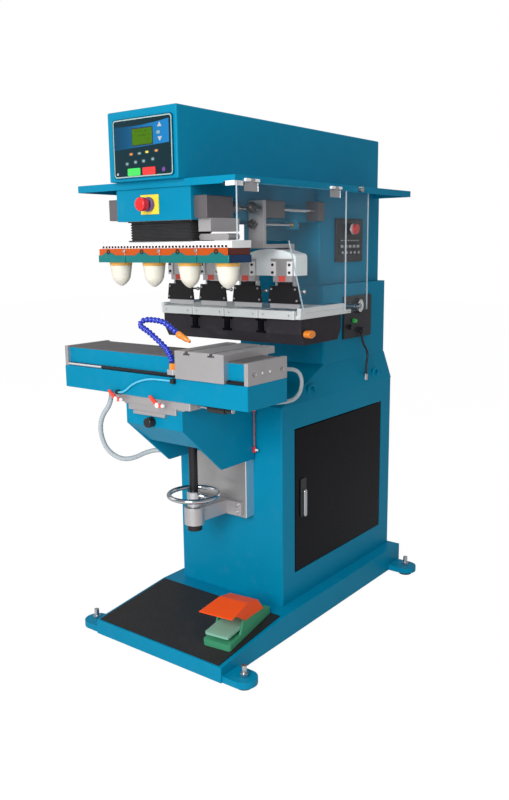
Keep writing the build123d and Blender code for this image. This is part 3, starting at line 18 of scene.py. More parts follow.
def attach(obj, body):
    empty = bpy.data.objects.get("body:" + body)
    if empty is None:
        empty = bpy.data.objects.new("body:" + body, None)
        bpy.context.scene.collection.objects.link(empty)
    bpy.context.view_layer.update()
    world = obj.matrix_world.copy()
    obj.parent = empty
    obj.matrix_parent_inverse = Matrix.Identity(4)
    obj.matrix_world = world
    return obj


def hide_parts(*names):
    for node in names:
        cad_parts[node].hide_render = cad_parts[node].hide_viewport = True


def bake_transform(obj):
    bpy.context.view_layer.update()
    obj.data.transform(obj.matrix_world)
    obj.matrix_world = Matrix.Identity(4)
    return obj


bl_info = {
    "name": "Pad printing machine looks",
    "version": (1, 0, 0),
    "blender": (4, 5, 0),
    "location": "View3D > Sidebar > Pad printer",
    "description": "Finishes and detailed pieces for a four-colour pad printing machine",
    "category": "Object",
}

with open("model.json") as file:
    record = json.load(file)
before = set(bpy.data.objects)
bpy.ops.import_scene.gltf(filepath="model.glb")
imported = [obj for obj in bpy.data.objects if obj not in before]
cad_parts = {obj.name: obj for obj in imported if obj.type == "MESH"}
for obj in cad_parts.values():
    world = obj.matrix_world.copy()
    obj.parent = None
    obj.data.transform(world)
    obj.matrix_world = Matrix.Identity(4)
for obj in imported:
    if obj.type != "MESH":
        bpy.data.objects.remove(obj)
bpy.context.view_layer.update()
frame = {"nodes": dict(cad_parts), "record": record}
NODE_SLOTS = {entry["node"]: entry["material_slot"] for entry in frame["record"]["subparts"]}
NODE_BODIES = {
    node: body for body, nodes in frame["record"]["behaviour"]["bodies"].items() for node in nodes
}
MM = 0.001
WELD = 1e-6  # metres between points that are joined

# Places in millimetres: x of the pads and of the printing plates, y of the pads' row, y of the
# keypad's film and of the levers' faces, x of the faces of the switch panel, air panel and gauge.
PAD_CENTRES = (-211.5, -70.5, 70.5, 211.5)
PLATE_CENTRES = (-203.25, -67.75, 67.75, 203.25)
PAD_LINE = -428
FILM_FACE = -538.6
LEVER_FACES = (-557.2, -552)
SWITCH_FACE = 173.0
AIR_FACE = 188.0
GAUGE_FACE = 196.0


# ---- shader writing ---------------------------------------------------------------
def maths(operation, swapped=False):
    """A method that adds a maths node, with the value itself first or, swapped, last."""
    def write(self, other=None):
        pair = [other, self] if swapped else [self, other]
        return self.shader.value("ShaderNodeMath", pair, operation=operation)
    return write


class Value:
    """A number socket that can be written into sums and products."""

    def __init__(self, shader, socket):
        self.shader = shader
        self.socket = socket

    __add__ = __radd__ = maths("ADD")
    __sub__ = maths("SUBTRACT")
    __rsub__ = maths("SUBTRACT", swapped=True)
    __mul__ = __rmul__ = maths("MULTIPLY")
    __truediv__ = maths("DIVIDE")
    __gt__ = maths("GREATER_THAN")
    __lt__ = maths("LESS_THAN")
    sine = maths("SINE")
    fraction = maths("FRACT")
    size = maths("ABSOLUTE")

    def ramp(self, low, high):
        """0 below low, 1 above high and smooth between."""
        inputs = {"Value": self, "From Min": low, "From Max": high}
        return self.shader.value("ShaderNodeMapRange", inputs, interpolation_type="SMOOTHSTEP")


class Tree:
    """A node tree, written with values and colours."""

    def __init__(self, tree):
        self.tree = tree

    def node(self, kind, inputs=(), **settings):
        """Adds a node, sets its settings first and then its sockets, by name or in order."""
        made = self.tree.nodes.new(kind)
        for key, setting in settings.items():
            setattr(made, key, setting)
        for key, entry in inputs.items() if isinstance(inputs, dict) else enumerate(inputs):
            if entry is not None:
                self.feed(made.inputs[key], entry)
        return made

    def feed(self, socket, entry):
        """Links a socket to a value or a socket, or sets it to a constant."""
        if isinstance(entry, Value):
            self.tree.links.new(entry.socket, socket)
        elif isinstance(entry, bpy.types.NodeSocket):
            self.tree.links.new(entry, socket)
        else:
            socket.default_value = entry

    def value(self, kind, inputs=(), **settings):
        """First output of a new node, as a value."""
        return Value(self, self.node(kind, inputs, **settings).outputs[0])


class Shader(Tree):
    """One material on a Principled BSDF."""

    def __init__(self, name):
        self.material = bpy.data.materials.new(name)
        self.material.use_nodes = True
        super().__init__(self.material.node_tree)
        self.surface = self.tree.nodes["Principled BSDF"]
        self.places = self.node("ShaderNodeTexCoord").outputs["Object"]

    def axes(self):
        """X, Y and Z in metres, as values."""
        parts = self.node("ShaderNodeSeparateXYZ", [self.places])
        return [Value(self, output) for output in parts.outputs]

    def noise(self, scale, detail=2.0, stretch=(1, 1, 1)):
        """Noise from 0 to 1 with features about 1 / scale metres apart, finer where stretched."""
        spot = self.node("ShaderNodeMapping", {"Vector": self.places, "Scale": stretch}).outputs[0]
        return self.value("ShaderNodeTexNoise", {"Vector": spot, "Scale": scale, "Detail": detail})

    def mix(self, factor, first, second):
        """Colour from first at factor 0 to second at factor 1."""
        colours = {"Factor": factor, 6: first, 7: second}
        return self.node("ShaderNodeMix", colours, data_type="RGBA").outputs[2]

    def finish(self, bump=None, depth=None, **inputs):
        """Sets the surface's sockets by name, with an optional bump height."""
        for key, entry in inputs.items():
            socket = key.replace("_", " ").title().replace("Ior", "IOR")
            self.feed(self.surface.inputs[socket], entry)
        if bump is not None:
            made = self.node("ShaderNodeBump", {"Height": bump, "Distance": depth, "Strength": 1.0})
            self.feed(self.surface.inputs["Normal"], made.outputs[0])
        return self.material


def tint(colour, share):
    """A colour made lighter or darker by a share, with full opacity."""
    return tuple(min(1.0, max(0.0, part * share)) for part in colour[:3]) + (1.0,)


def painted(name, colour, roughness=0.38, dusty=0.02):
    """Sprayed enamel with slight orange peel, mottling and handling dust."""
    shader = Shader(name)
    mottling = shader.noise(7.0, 3.0)
    dust = shader.noise(23.0, 5.0).ramp(0.52, 0.8)
    shade = shader.mix(mottling, tint(colour, 0.93), tint(colour, 1.06))
    shade = shader.mix(dust * dusty, shade, (0.4, 0.45, 0.47, 1))
    return shader.finish(
        bump=shader.noise(520.0), depth=0.00012, base_color=shade,
        roughness=roughness + dust * 0.14, specular_ior_level=0.09,
    )


def metal(name, colour, roughness, grain, wear, metallic):
    """Metal with a cutter's or brush's grain, finest along the axes with the largest stretch."""
    shader = Shader(name)
    lines = shader.noise(260.0, 3.0, grain)
    smears = shader.noise(14.0, 4.0)
    shade = shader.mix(lines, tint(colour, 1 - wear), tint(colour, 1 + wear))
    shade = shader.mix(smears.ramp(0.45, 0.75) * 0.35, shade, tint(colour, 0.82))
    return shader.finish(
        bump=lines, depth=0.00003, base_color=shade, metallic=metallic,
        roughness=roughness + (smears - 0.5) * 0.16,
    )


def moulded(name, colour, roughness, grain=0.00006, coat=0.0):
    """Moulded plastic or rubber with a fine spark grain and faint scuffs."""
    shader = Shader(name)
    sparks = shader.noise(1400.0)
    scuffs = shader.noise(60.0, 4.0).ramp(0.55, 0.8)
    scuffed = tint([part * 0.7 + 0.12 for part in colour], 1)
    return shader.finish(
        bump=sparks, depth=grain, base_color=shader.mix(scuffs * 0.12, tint(colour, 1), scuffed),
        roughness=roughness + scuffs * 0.1, coat_weight=coat,
    )


def housing_paint():
    """Enamel in the panel's colour."""
    return painted("teal_paint", bpy.context.scene.padprinter_parts.teal)


def clear_sheet():
    """Clear acrylic sheet with a faint haze; its cut edges have a finish of their own."""
    shader = Shader("clear_acrylic")
    haze = shader.noise(5.0, 3.0).ramp(0.4, 0.8)
    return shader.finish(
        base_color=(0.86, 0.95, 0.98, 1), roughness=0.04, alpha=0.02 + haze * 0.02, metallic=0.0,
    )


def ribbed_mat():
    """Black rubber matting with fine ribs from left to right, 5 mm apart, and trodden-in dust."""
    shader = Shader("ribbed_mat")
    _, depth, _ = shader.axes()
    ribs = (depth * (2 * math.pi / 0.005)).sine()
    dust = shader.noise(11.0, 5.0).ramp(0.45, 0.8)
    shade = shader.mix(dust * 0.35, (0.006, 0.0055, 0.007, 1), (0.04, 0.036, 0.038, 1))
    return shader.finish(bump=ribs, depth=0.0007, base_color=shade, roughness=0.62 + dust * 0.2)


def silicone():
    """Cream silicone, slightly translucent, with a satin skin."""
    shader = Shader("silicone")
    cloud = shader.noise(40.0, 3.0)
    return shader.finish(
        base_color=shader.mix(cloud, (0.78, 0.74, 0.62, 1), (0.86, 0.83, 0.74, 1)),
        roughness=0.38 + cloud * 0.08, subsurface_weight=0.15,
        subsurface_radius=(0.006, 0.005, 0.003), subsurface_scale=1.0,
    )


def rod_steel():
    """Guide rod of the shuttle: bright at its left end, near black on the rest."""
    shader = Shader("rod_steel")
    side, _, _ = shader.axes()
    shade = shader.mix(side < -0.2, (0.035, 0.033, 0.036, 1), (0.72, 0.72, 0.74, 1))
    return shader.finish(base_color=shade, metallic=0.8, roughness=0.3)


def screen_glow():
    """Green display, lit from behind, with faint rows of blocks."""
    shader = Shader("display_glow")
    side, _, height = shader.axes()
    rows = (((height - 1.5325) / 0.011).fraction() - 0.5).size() < 0.28
    marks = ((side / 0.0042).fraction() - 0.5).size() < 0.33
    words = shader.noise(190.0, 0.0, stretch=(1, 1, 0.5)) > 0.52
    shade = shader.mix(rows * marks * words * 0.5, (0.05, 0.14, 0.004, 1), (0.02, 0.05, 0.003, 1))
    return shader.finish(
        base_color=shade, roughness=0.3, specular_ior_level=0.1, emission_color=shade,
        emission_strength=0.12,
    )


def keypad_print():
    """Printed film: dark field with a slanted band that runs from dark teal to bright blue."""
    shader = Shader("keypad_print")
    side, _, height = shader.axes()
    across = (side + 0.102) / 0.211
    upper = across * 0.007 + 1.578 - across * (1 - across) * 0.02
    lower = across * 0.009 + 1.515
    band = (height > lower) * (height < upper) * (side > -0.100) * (side < 0.1075)
    glow = shader.mix(across.ramp(0.0, 1.0), (0.002, 0.05, 0.11, 1), (0.01, 0.17, 0.42, 1))
    field = shader.mix(across, (0.004, 0.024, 0.034, 1), (0.005, 0.022, 0.03, 1))
    return shader.finish(
        base_color=shader.mix(band, field, glow), roughness=0.4, specular_ior_level=0.1,
    )


def bellows_cloth():
    """Coated black cloth with a fine weave."""
    shader = Shader("bellows_cloth")
    side, depth, height = shader.axes()
    weave = ((side + depth) * 5200.0).sine() * (height * 5200.0).sine()
    fade = shader.noise(30.0, 3.0)
    shade = shader.mix(fade, (0.012, 0.012, 0.013, 1), (0.03, 0.03, 0.033, 1))
    return shader.finish(bump=weave, depth=0.00008, base_color=shade, roughness=0.6 + fade * 0.15)


TEAL = (0.0, 0.23, 0.395)
ALONG_X, ALONG_Y, ALONG_Z, EVEN = (1, 14, 14), (14, 1, 14), (14, 14, 1), (3, 3, 3)
RECIPES = {
    "bright_enamel": (painted, (0.86, 0.86, 0.87), 0.3, 0.02),
    "teal_dark": (painted, tint(TEAL, 0.35), 0.3, 0.0),
    "door_paint": (painted, (0.003, 0.0028, 0.005), 0.22, 0.005),
    "black_paint": (painted, (0.035, 0.03, 0.037), 0.42, 0.05),
    "light_paint": (painted, (0.84, 0.9, 0.91), 0.34, 0.02),
    "green_paint": (painted, (0.06, 0.32, 0.17), 0.36, 0.05),
    "pale_green_paint": (painted, (0.24, 0.5, 0.38), 0.42, 0.1),
    "orange_paint": (painted, (0.98, 0.095, 0.01), 0.32, 0.02),
    "plate_face": (painted, (0.62, 0.64, 0.64), 0.4, 0.06),
    "aluminium": (metal, (0.53, 0.51, 0.52), 0.42, ALONG_X, 0.08, 0.7),
    "bright_aluminium": (metal, (0.74, 0.74, 0.76), 0.3, ALONG_X, 0.05, 0.8),
    "tray_aluminium": (metal, (0.86, 0.88, 0.88), 0.4, ALONG_Y, 0.06, 0.45),
    "grey_anodised": (metal, (0.17, 0.155, 0.165), 0.42, (1, 12, 12), 0.1, 0.6),
    "black_anodised": (metal, (0.012, 0.01, 0.012), 0.4, (1, 9, 9), 0.2, 0.4),
    "orange_anodised": (metal, (0.75, 0.12, 0.012), 0.33, ALONG_X, 0.1, 0.55),
    # Darker copy of the orange anodising for the clamp bar's right end faces: painted shade.
    "dark_red_anodised": (metal, (0.16, 0.03, 0.02), 0.4, ALONG_Y, 0.1, 0.4),
    # Darker copy of the teal anodising for the holders' right end faces: painted shade.
    "navy_anodised": (metal, (0.006, 0.045, 0.14), 0.4, ALONG_Y, 0.1, 0.4),
    "teal_anodised": (metal, (0.012, 0.24, 0.24), 0.33, ALONG_X, 0.1, 0.5),
    "ground_steel": (metal, (0.43, 0.42, 0.42), 0.38, ALONG_Z, 0.1, 0.75),
    "zinc_steel": (metal, (0.6, 0.6, 0.62), 0.3, EVEN, 0.1, 1.0),
    "dark_steel": (metal, (0.035, 0.033, 0.036), 0.35, (8, 8, 1), 0.2, 0.8),
    "chrome": (metal, (0.56, 0.57, 0.6), 0.12, (1, 1, 1), 0.02, 1.0),
    "brass": (metal, (0.62, 0.42, 0.16), 0.28, EVEN, 0.1, 1.0),
    "amber": (moulded, (0.85, 0.42, 0.06), 0.2, 0.00002, 0.5),
    "black_plastic": (moulded, (0.012, 0.012, 0.013), 0.36),
    "dark_panel": (moulded, (0.022, 0.022, 0.028), 0.45),
    "white_plastic": (moulded, (0.85, 0.85, 0.86), 0.3),
    "grey_plastic": (moulded, (0.42, 0.42, 0.44), 0.45),
    "red_plastic": (moulded, (0.75, 0.012, 0.015), 0.22, 0.00002, 0.5),
    "lever_plastic": (moulded, (0.85, 0.07, 0.04), 0.35),
    "yellow_plastic": (moulded, (0.85, 0.68, 0.05), 0.35),
    "green_plastic": (moulded, (0.05, 0.62, 0.1), 0.3),
    "stop_plastic": (moulded, (0.8, 0.03, 0.03), 0.3),
    "violet_plastic": (moulded, (0.16, 0.09, 0.24), 0.35),
    "blue_plastic": (moulded, (0.01, 0.035, 0.5), 0.14, 0.00001, 0.8),
    "orange_plastic": (moulded, (0.9, 0.26, 0.02), 0.3, 0.00002, 0.3),
    "tube_blue": (moulded, (0.08, 0.5, 0.72), 0.25, 0.00001, 0.3),
    "grey_conduit": (moulded, (0.46, 0.51, 0.54), 0.42),
    "label_red": (moulded, (0.75, 0.08, 0.06), 0.45),
    "sheet_edge": (moulded, (0.4, 0.47, 0.52), 0.2),
    "keypad_rim": (moulded, (0.36, 0.48, 0.47), 0.4),
    "mode_key": (moulded, (0.012, 0.035, 0.045), 0.4),
    "mode_mark": (moulded, (0.2, 0.34, 0.36), 0.4),
    "violet_key": (moulded, (0.16, 0.04, 0.28), 0.35),
}
SPECIAL = {
    "teal_paint": housing_paint, "clear_acrylic": clear_sheet, "black_rubber": ribbed_mat,
    "silicone": silicone, "rod_steel": rod_steel, "display_glow": screen_glow,
    "keypad_print": keypad_print, "bellows_fabric": bellows_cloth,
}
FINISHES = {}


def finish(name):
    """A finish by name, made the first time it is asked for."""
    if name not in FINISHES:
        if name in SPECIAL:
            FINISHES[name] = SPECIAL[name]()
        else:
            recipe, *values = RECIPES[name]
            FINISHES[name] = recipe(name, *values)
    return FINISHES[name]


# ---- surfaces ---------------------------------------------------------------------
def added(name, data):
    """A new object in the scene."""
    made = bpy.data.objects.new(name, data)
    bpy.context.scene.collection.objects.link(made)
    return made


def ring_faces(rings, count):
    """Quads between neighbouring rings that have count points each."""
    ring, here = np.meshgrid(np.arange(rings - 1) * count, np.arange(count), indexing="ij")
    there = (here + 1) % count
    quads = [ring + here, ring + there, ring + count + there, ring + count + here]
    return np.stack(quads, axis=-1).reshape(-1, 4).tolist()


def capped_faces(rings, count):
    """Quads between neighbouring rings, and a face over the first and the last one."""
    last = (rings - 1) * count
    return ring_faces(rings, count) + [list(range(count)), list(range(last, last + count))[::-1]]


def mesh_piece(name, part, body, material, smooth, node=None, unit=MM):
    """Puts a part into a mesh, welds it, turns faces outwards and rides it on a body.

    A part is its points, counted in unit, and its faces. The piece replaces the node, if named.
    """
    points, faces = part
    mesh = bpy.data.meshes.new(name)
    mesh.from_pydata((np.asarray(points, float) * unit).tolist(), [], faces)
    work = bmesh.new()
    work.from_mesh(mesh)
    bmesh.ops.remove_doubles(work, verts=work.verts, dist=WELD)
    bmesh.ops.dissolve_degenerate(work, edges=work.edges, dist=1e-7)
    bmesh.ops.recalc_face_normals(work, faces=work.faces)
    work.to_mesh(mesh)
    work.free()
    piece = place(mesh, name, body, [material], smooth)
    if node:
        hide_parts(node)
    return piece


def mesh_pieces(rows, body, smooth, node=None):
    """Several pieces that ride on one body: each row holds a name, a part and a finish."""
    for name, part, material in rows:
        mesh_piece(name, part, body, material, smooth, node)


def place(mesh, name, body, materials, smooth):
    """Links a mesh as a piece that rides on a body, smooth up to an angle in degrees."""
    piece = added(name, mesh)
    for material in materials:
        mesh.materials.append(finish(material))
    mesh.polygons.foreach_set("use_smooth", [True] * len(mesh.polygons))
    mesh.set_sharp_from_angle(angle=math.radians(smooth))
    if body:
        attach(piece, body)
    return piece


def joined(parts):
    """Several parts as one."""
    points, faces, offset = [], [], 0
    for part_points, part_faces in parts:
        points.append(np.asarray(part_points, float))
        faces.extend([index + offset for index in face] for face in part_faces)
        offset += len(part_points)
    return np.concatenate(points), faces


def revolved(profile, centre, axis, side, up, steps):
    """Surface of revolution about an axis through centre: the profile holds radius and height."""
    radius, height = np.asarray(profile, float).T[:, :, None, None]
    angle = np.linspace(0, 2 * math.pi, steps, endpoint=False)[:, None]
    points = centre + height * axis + radius * (np.cos(angle) * side + np.sin(angle) * up)
    return points.reshape(-1, 3), ring_faces(len(profile), steps)


def turned(profile, centre, axis, steps):
    """Surface of revolution about one of the frame's axes."""
    x, y, z = np.eye(3)
    directions = {"x": (x, y, z), "y": (y, x, z), "z": (z, x, y)}[axis]
    return revolved(profile, centre, *directions, steps)


def slab(low, high):
    """Box between two corners."""
    low, high = np.asarray(low, float), np.asarray(high, float)
    pick = np.array([[i >> 2 & 1, i >> 1 & 1, i & 1] for i in range(8)])
    faces = [[0, 1, 3, 2], [4, 6, 7, 5], [0, 4, 5, 1], [2, 3, 7, 6], [0, 2, 6, 4], [1, 5, 7, 3]]
    return low + pick * (high - low), faces


def rounded_slab(low, high, radius, axis, steps):
    """Plate with rounded corners: a rounded rectangle of the two other axes, drawn along axis."""
    along = {"x": 0, "y": 1, "z": 2}[axis]
    u, v = [index for index in range(3) if index != along]
    quarter = np.linspace(0, math.pi / 2, steps)
    right, left, top, base = high[u] - radius, low[u] + radius, high[v] - radius, low[v] + radius
    ring = np.concatenate([
        np.stack([centre_u + radius * np.cos(turn), centre_v + radius * np.sin(turn)], -1)
        for centre_u, centre_v, turn in (
            (right, top, quarter), (left, top, quarter + math.pi / 2),
            (left, base, quarter + math.pi), (right, base, quarter + 3 * math.pi / 2),
        )
    ])
    points = np.zeros((2 * len(ring), 3))
    points[:, [u, v]] = np.tile(ring, (2, 1))
    points[:, along] = np.repeat([low[along], high[along]], len(ring))
    return points, capped_faces(2, len(ring))


def pierced_slab(low, high, radius, openings):
    """Rounded plate drawn along y with rectangular openings.

    The two broad sides are tessellated, and each outline gets a wall between them.
    """
    ring, _ = rounded_slab(low, high, radius, "y", 8)
    loops = [ring[:len(ring) // 2, [0, 2]]] + [
        np.array([(left, base), (left, top), (right, top), (right, base)])
        for left, right, base, top in openings
    ]
    flat = np.concatenate(loops)
    count = len(flat)
    points = np.array([(x, y, z) for y in (low[1], high[1]) for x, z in flat])
    faces = []
    for a, b, c in tessellate_polygon([[Vector((x, z, 0)) for x, z in loop] for loop in loops]):
        (ax, az), (bx, bz), (cx, cz) = flat[a], flat[b], flat[c]
        if (bx - ax) * (cz - az) < (cx - ax) * (bz - az):
            b, c = c, b
        faces += [[a, b, c], [c + count, b + count, a + count]]
    start = 0
    for loop in loops:
        for index in range(len(loop)):
            here, there = start + index, start + (index + 1) % len(loop)
            faces.append([here, here + count, there + count, there])
        start += len(loop)
    return points, faces


def screw_heads(places, radius, height):
    """Socket screws that face the front: a turned head with a recessed socket at each place."""
    profile = [
        (0, -0.35 * height), (0.5 * radius, -0.35 * height), (0.5 * radius, -height),
        (0.88 * radius, -height), (radius, -0.8 * height), (radius, 0), (0, 0),
    ]
    return joined([turned(profile, spot, "y", 16) for spot in places])


def islands(work):
    """Faces of a bmesh in connected groups."""
    work.faces.ensure_lookup_table()
    seen, groups = set(), []
    for start in work.faces:
        if start.index in seen:
            continue
        group, queue = [], [start]
        seen.add(start.index)
        while queue:
            face = queue.pop()
            group.append(face)
            for other in (other for edge in face.edges for other in edge.link_faces):
                if other.index not in seen:
                    seen.add(other.index)
                    queue.append(other)
        groups.append(group)
    return groups


def softened(node, materials, choose=None, width=0.0008):
    """A node's solids with welded corners and small rounded edges, and a finish for each face.

    choose takes a solid's lowest and highest corner and a face's middle, in millimetres, and gives
    the index of the face's finish. Closed inner hollows of a housing are dropped.
    """
    work = bmesh.new()
    work.from_mesh(frame["nodes"][node].data)
    bmesh.ops.remove_doubles(work, verts=work.verts, dist=WELD)
    hollow = []
    for group in islands(work):
        points = np.array([vertex.co for face in group for vertex in face.verts]) / MM
        low, high = points.min(0), points.max(0)
        if sum(face.verts[0].co.dot(face.normal) * face.calc_area() for face in group) < 0:
            hollow.extend(group)
            continue
        for face in group:
            middle = face.calc_center_median() / MM
            face.material_index = int(choose(low, high, middle)) if choose else 0
    bmesh.ops.delete(work, geom=hollow, context="FACES")
    loose = [vertex for vertex in work.verts if not vertex.link_faces]
    bmesh.ops.delete(work, geom=loose, context="VERTS")
    bmesh.ops.dissolve_limit(
        work, angle_limit=math.radians(0.5), verts=work.verts, edges=work.edges,
        delimit={"MATERIAL"},
    )
    name = node + "_dressed"
    mesh = bpy.data.meshes.new(name)
    work.to_mesh(mesh)
    work.free()
    piece = place(mesh, name, NODE_BODIES[node], materials, 35)
    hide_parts(node)
    if width:
        soft = piece.modifiers.new("soft_edges", "BEVEL")
        soft.width = width
        soft.segments = 2
        soft.limit_method = "ANGLE"
        soft.angle_limit = math.radians(40)
        piece.modifiers.new("even_shading", "WEIGHTED_NORMAL").keep_sharp = True


def recoat(node, material):
    """Gives a node a finish and leaves its shape."""
    materials = frame["nodes"][node].data.materials
    materials.clear()
    materials.append(finish(material))


# ---- settings ---------------------------------------------------------------------
class PartsSettings(bpy.types.PropertyGroup):
    """Colours and sizes of the dressed pieces."""

    teal: FloatVectorProperty(
        name="Housing paint", description="Enamel of the housings", subtype="COLOR", size=3,
        default=TEAL, min=0, max=1,
    )
    edge: FloatProperty(
        name="Edge radius", description="Rounding of sheet and block edges", default=0.0012,
        subtype="DISTANCE", unit="LENGTH", min=0.0002, max=0.003,
    )
    pleats: IntProperty(
        name="Bellows pleats", description="Folds of the bellows", default=7, min=3, max=12,
    )
    hose_pitch: FloatProperty(
        name="Hose pitch", description="Length of one segment of the nozzle hose", default=0.0145,
        subtype="DISTANCE", unit="LENGTH", min=0.006, max=0.03,
    )


class StageSettings(bpy.types.PropertyGroup):
    """Light and floor."""

    key_power: FloatProperty(
        name="Key light", description="Power of the key light", default=95.0, subtype="POWER",
    )
    fill_power: FloatProperty(
        name="Fill light", description="Power of the fill light", default=26.0, subtype="POWER",
    )
    world_level: FloatProperty(
        name="Room level", description="Strength of the room's light", default=0.36,
    )


# ---- camera and light -------------------------------------------------------------
class PADPRINTER_OT_stage(bpy.types.Operator):
    """Camera, pale floor, room and soft lights"""

    bl_idname = "padprinter.stage"
    bl_label = "Stage"

    def execute(self, context):
        settings = context.scene.padprinter_stage
        self.camera(context)
        self.room(settings)
        self.lights(settings)
        return {"FINISHED"}

    def camera(self, context):
        """A camera turned, pitched and rolled about its own place."""
        turn, pitch, roll = map(math.radians, (37.381, 10.969, -0.669))
        flat = math.cos(pitch)
        forward = Vector((-math.sin(turn) * flat, math.cos(turn) * flat, -math.sin(pitch)))
        level = forward.cross(Vector((0, 0, 1))).normalized()
        upright = level.cross(forward)
        right = level * math.cos(roll) + upright * math.sin(roll)
        up = upright * math.cos(roll) - level * math.sin(roll)
        data = bpy.data.cameras.new("camera")
        data.sensor_fit = "VERTICAL"
        data.sensor_height = 36.0
        data.lens = 804.52 * 36.0 / 800.0
        data.clip_end = 60
        camera = added("camera", data)
        rows = Matrix((right, up, -forward)).transposed().to_4x4()
        camera.matrix_world = Matrix.Translation((1.6335, -2.1756, 1.2545)) @ rows
        context.scene.camera = camera
        context.scene.view_settings.view_transform = "Standard"

    def room(self, settings):
        """A plain white room, and a floor that keeps a faint shadow."""
        world = bpy.data.worlds.new("room")
        bpy.context.scene.world = world
        world.use_nodes = True
        air = Tree(world.node_tree)
        rays = air.node("ShaderNodeLightPath").outputs
        both = [rays["Is Camera Ray"], rays["Is Transmission Ray"]]
        seen = air.value("ShaderNodeMath", both, operation="MAXIMUM")
        level = air.value(
            "ShaderNodeMapRange", {"To Min": settings.world_level, "To Max": 1.0, "Value": seen},
        )
        back = air.tree.nodes["Background"]
        air.feed(back.inputs["Strength"], level)
        air.feed(back.inputs["Color"], (1, 1, 1, 1))
        shader = Shader("floor")
        shade = shader.finish(base_color=(0.86, 0.86, 0.86, 1), roughness=0.9)
        seen = shader.node("ShaderNodeLightPath").outputs["Is Camera Ray"]
        glow = shader.node("ShaderNodeEmission", {"Strength": 1.05}).outputs[0]
        share = shader.value("ShaderNodeMath", [seen, 0.92], operation="MULTIPLY")
        blend = shader.value("ShaderNodeMixShader", [share, shader.surface.outputs[0], glow])
        shader.feed(shader.tree.nodes["Material Output"].inputs[0], blend)
        reach = 14.0
        corners = [(x * reach, y * reach, 0) for x, y in ((-1, -1), (1, -1), (1, 1), (-1, 1))]
        mesh = bpy.data.meshes.new("floor")
        mesh.from_pydata(corners, [], [(0, 1, 2, 3)])
        mesh.materials.append(shade)
        floor = added("floor", mesh)

    def lights(self, settings):
        """A soft key near the camera's side, a weak fill at the left and a light above."""
        aim = Vector((0, -0.1, 0.85))
        for name, spot, size, power in (
            ("key", (1.0, -3.4, 1.9), 1.6, settings.key_power),
            ("fill", (-3.4, -1.8, 2.2), 2.6, settings.fill_power),
            ("above", (0.3, -0.6, 4.2), 3.0, settings.fill_power * 1.1),
        ):
            data = bpy.data.lights.new(name, "AREA")
            data.energy = power
            data.size = size
            light = added(name, data)
            light.rotation_euler = (Vector(spot) - aim).to_track_quat("Z", "Y").to_euler()
            light.location = spot


# ---- cables and tubes -------------------------------------------------------------
def spline_object(name, points, depth=0.0):
    """Open NURBS curve of order 3 through the route's points, which are its control points."""
    data = bpy.data.curves.new(name, "CURVE")
    data.dimensions = "3D"
    data.resolution_u = 24
    data.bevel_depth = depth
    data.bevel_resolution = 5
    data.use_fill_caps = True
    line = data.splines.new("NURBS")
    line.points.add(len(points) - 1)
    for point, target in zip(line.points, points):
        point.co = (*target, 1.0)
    line.order_u = 3
    line.use_endpoint_u = True
    return added(name, data)


def route_line(points):
    """Points of the route's NURBS spline, read from a curve with no bevel."""
    made = spline_object("route", points)
    bpy.context.view_layer.update()
    mesh = bpy.data.meshes.new_from_object(made)
    line = np.array([vertex.co for vertex in mesh.vertices])
    bpy.data.objects.remove(made)
    bpy.data.meshes.remove(mesh)
    return line


def evenly(line, pitch):
    """Points at even spacing along a polyline, with their distance from its start."""
    steps = np.linalg.norm(np.diff(line, axis=0), axis=1)
    reach = np.concatenate([[0], np.cumsum(steps)])
    count = max(2, int(round(reach[-1] / pitch)) + 1)
    along = np.linspace(0, reach[-1], count)
    return np.stack([np.interp(along, reach, line[:, k]) for k in range(3)], -1), along


def tube_along(line, radii, steps):
    """Tube about a polyline: rings square to the line, with a frame carried along by projection."""
    tangent = np.gradient(line, axis=0)
    tangent /= np.linalg.norm(tangent, axis=1)[:, None]
    side = np.cross(tangent[0], (0.0, 0.0, 1.0))
    if np.linalg.norm(side) < 0.1:
        side = np.cross(tangent[0], (0.0, 1.0, 0.0))
    sides = []
    for direction in tangent:
        side = side - direction * side.dot(direction)
        side = side / np.linalg.norm(side)
        sides.append(side)
    sides = np.array(sides)
    ups = np.cross(tangent, sides)
    angle = np.linspace(0, 2 * math.pi, steps, endpoint=False)[None, :, None]
    ring = np.cos(angle) * sides[:, None, :] + np.sin(angle) * ups[:, None, :]
    points = (line[:, None, :] + ring * np.asarray(radii)[:, None, None]).reshape(-1, 3)
    return points, capped_faces(len(line), steps)


CORD_ROUTES = {
    "side_cable": [
        (0.196, 0.342, 0.938), (0.196, 0.342, 0.910), (0.208, 0.372, 0.866), (0.210, 0.352, 0.818),
        (0.210, 0.352, 0.790),
    ],
    "left_conduit": [
        (-0.250, -0.455, 0.820), (-0.250, -0.455, 0.768), (-0.306, -0.455, 0.712),
        (-0.314, -0.455, 0.655), (-0.282, -0.455, 0.598), (-0.215, -0.436, 0.572),
        (-0.165, -0.362, 0.608), (-0.113, -0.362, 0.608),
    ],
    "right_conduit": [
        (0.330, -0.374, 0.905), (0.330, -0.318, 0.905), (0.330, -0.261, 0.893),
        (0.330, -0.238, 0.865), (0.330, -0.243, 0.830), (0.330, -0.2725, 0.809),
        (0.330, -0.330, 0.809), (0.285, -0.383, 0.809), (0.215, -0.400, 0.809),
        (0.155, -0.400, 0.809),
    ],
    "blue_air_tube": [
        (-0.119, -0.548, 0.826), (-0.098, -0.548, 0.826), (-0.058, -0.548, 0.858),
        (0.004, -0.548, 0.878), (0.066, -0.548, 0.880), (0.097, -0.548, 0.880),
    ],
}


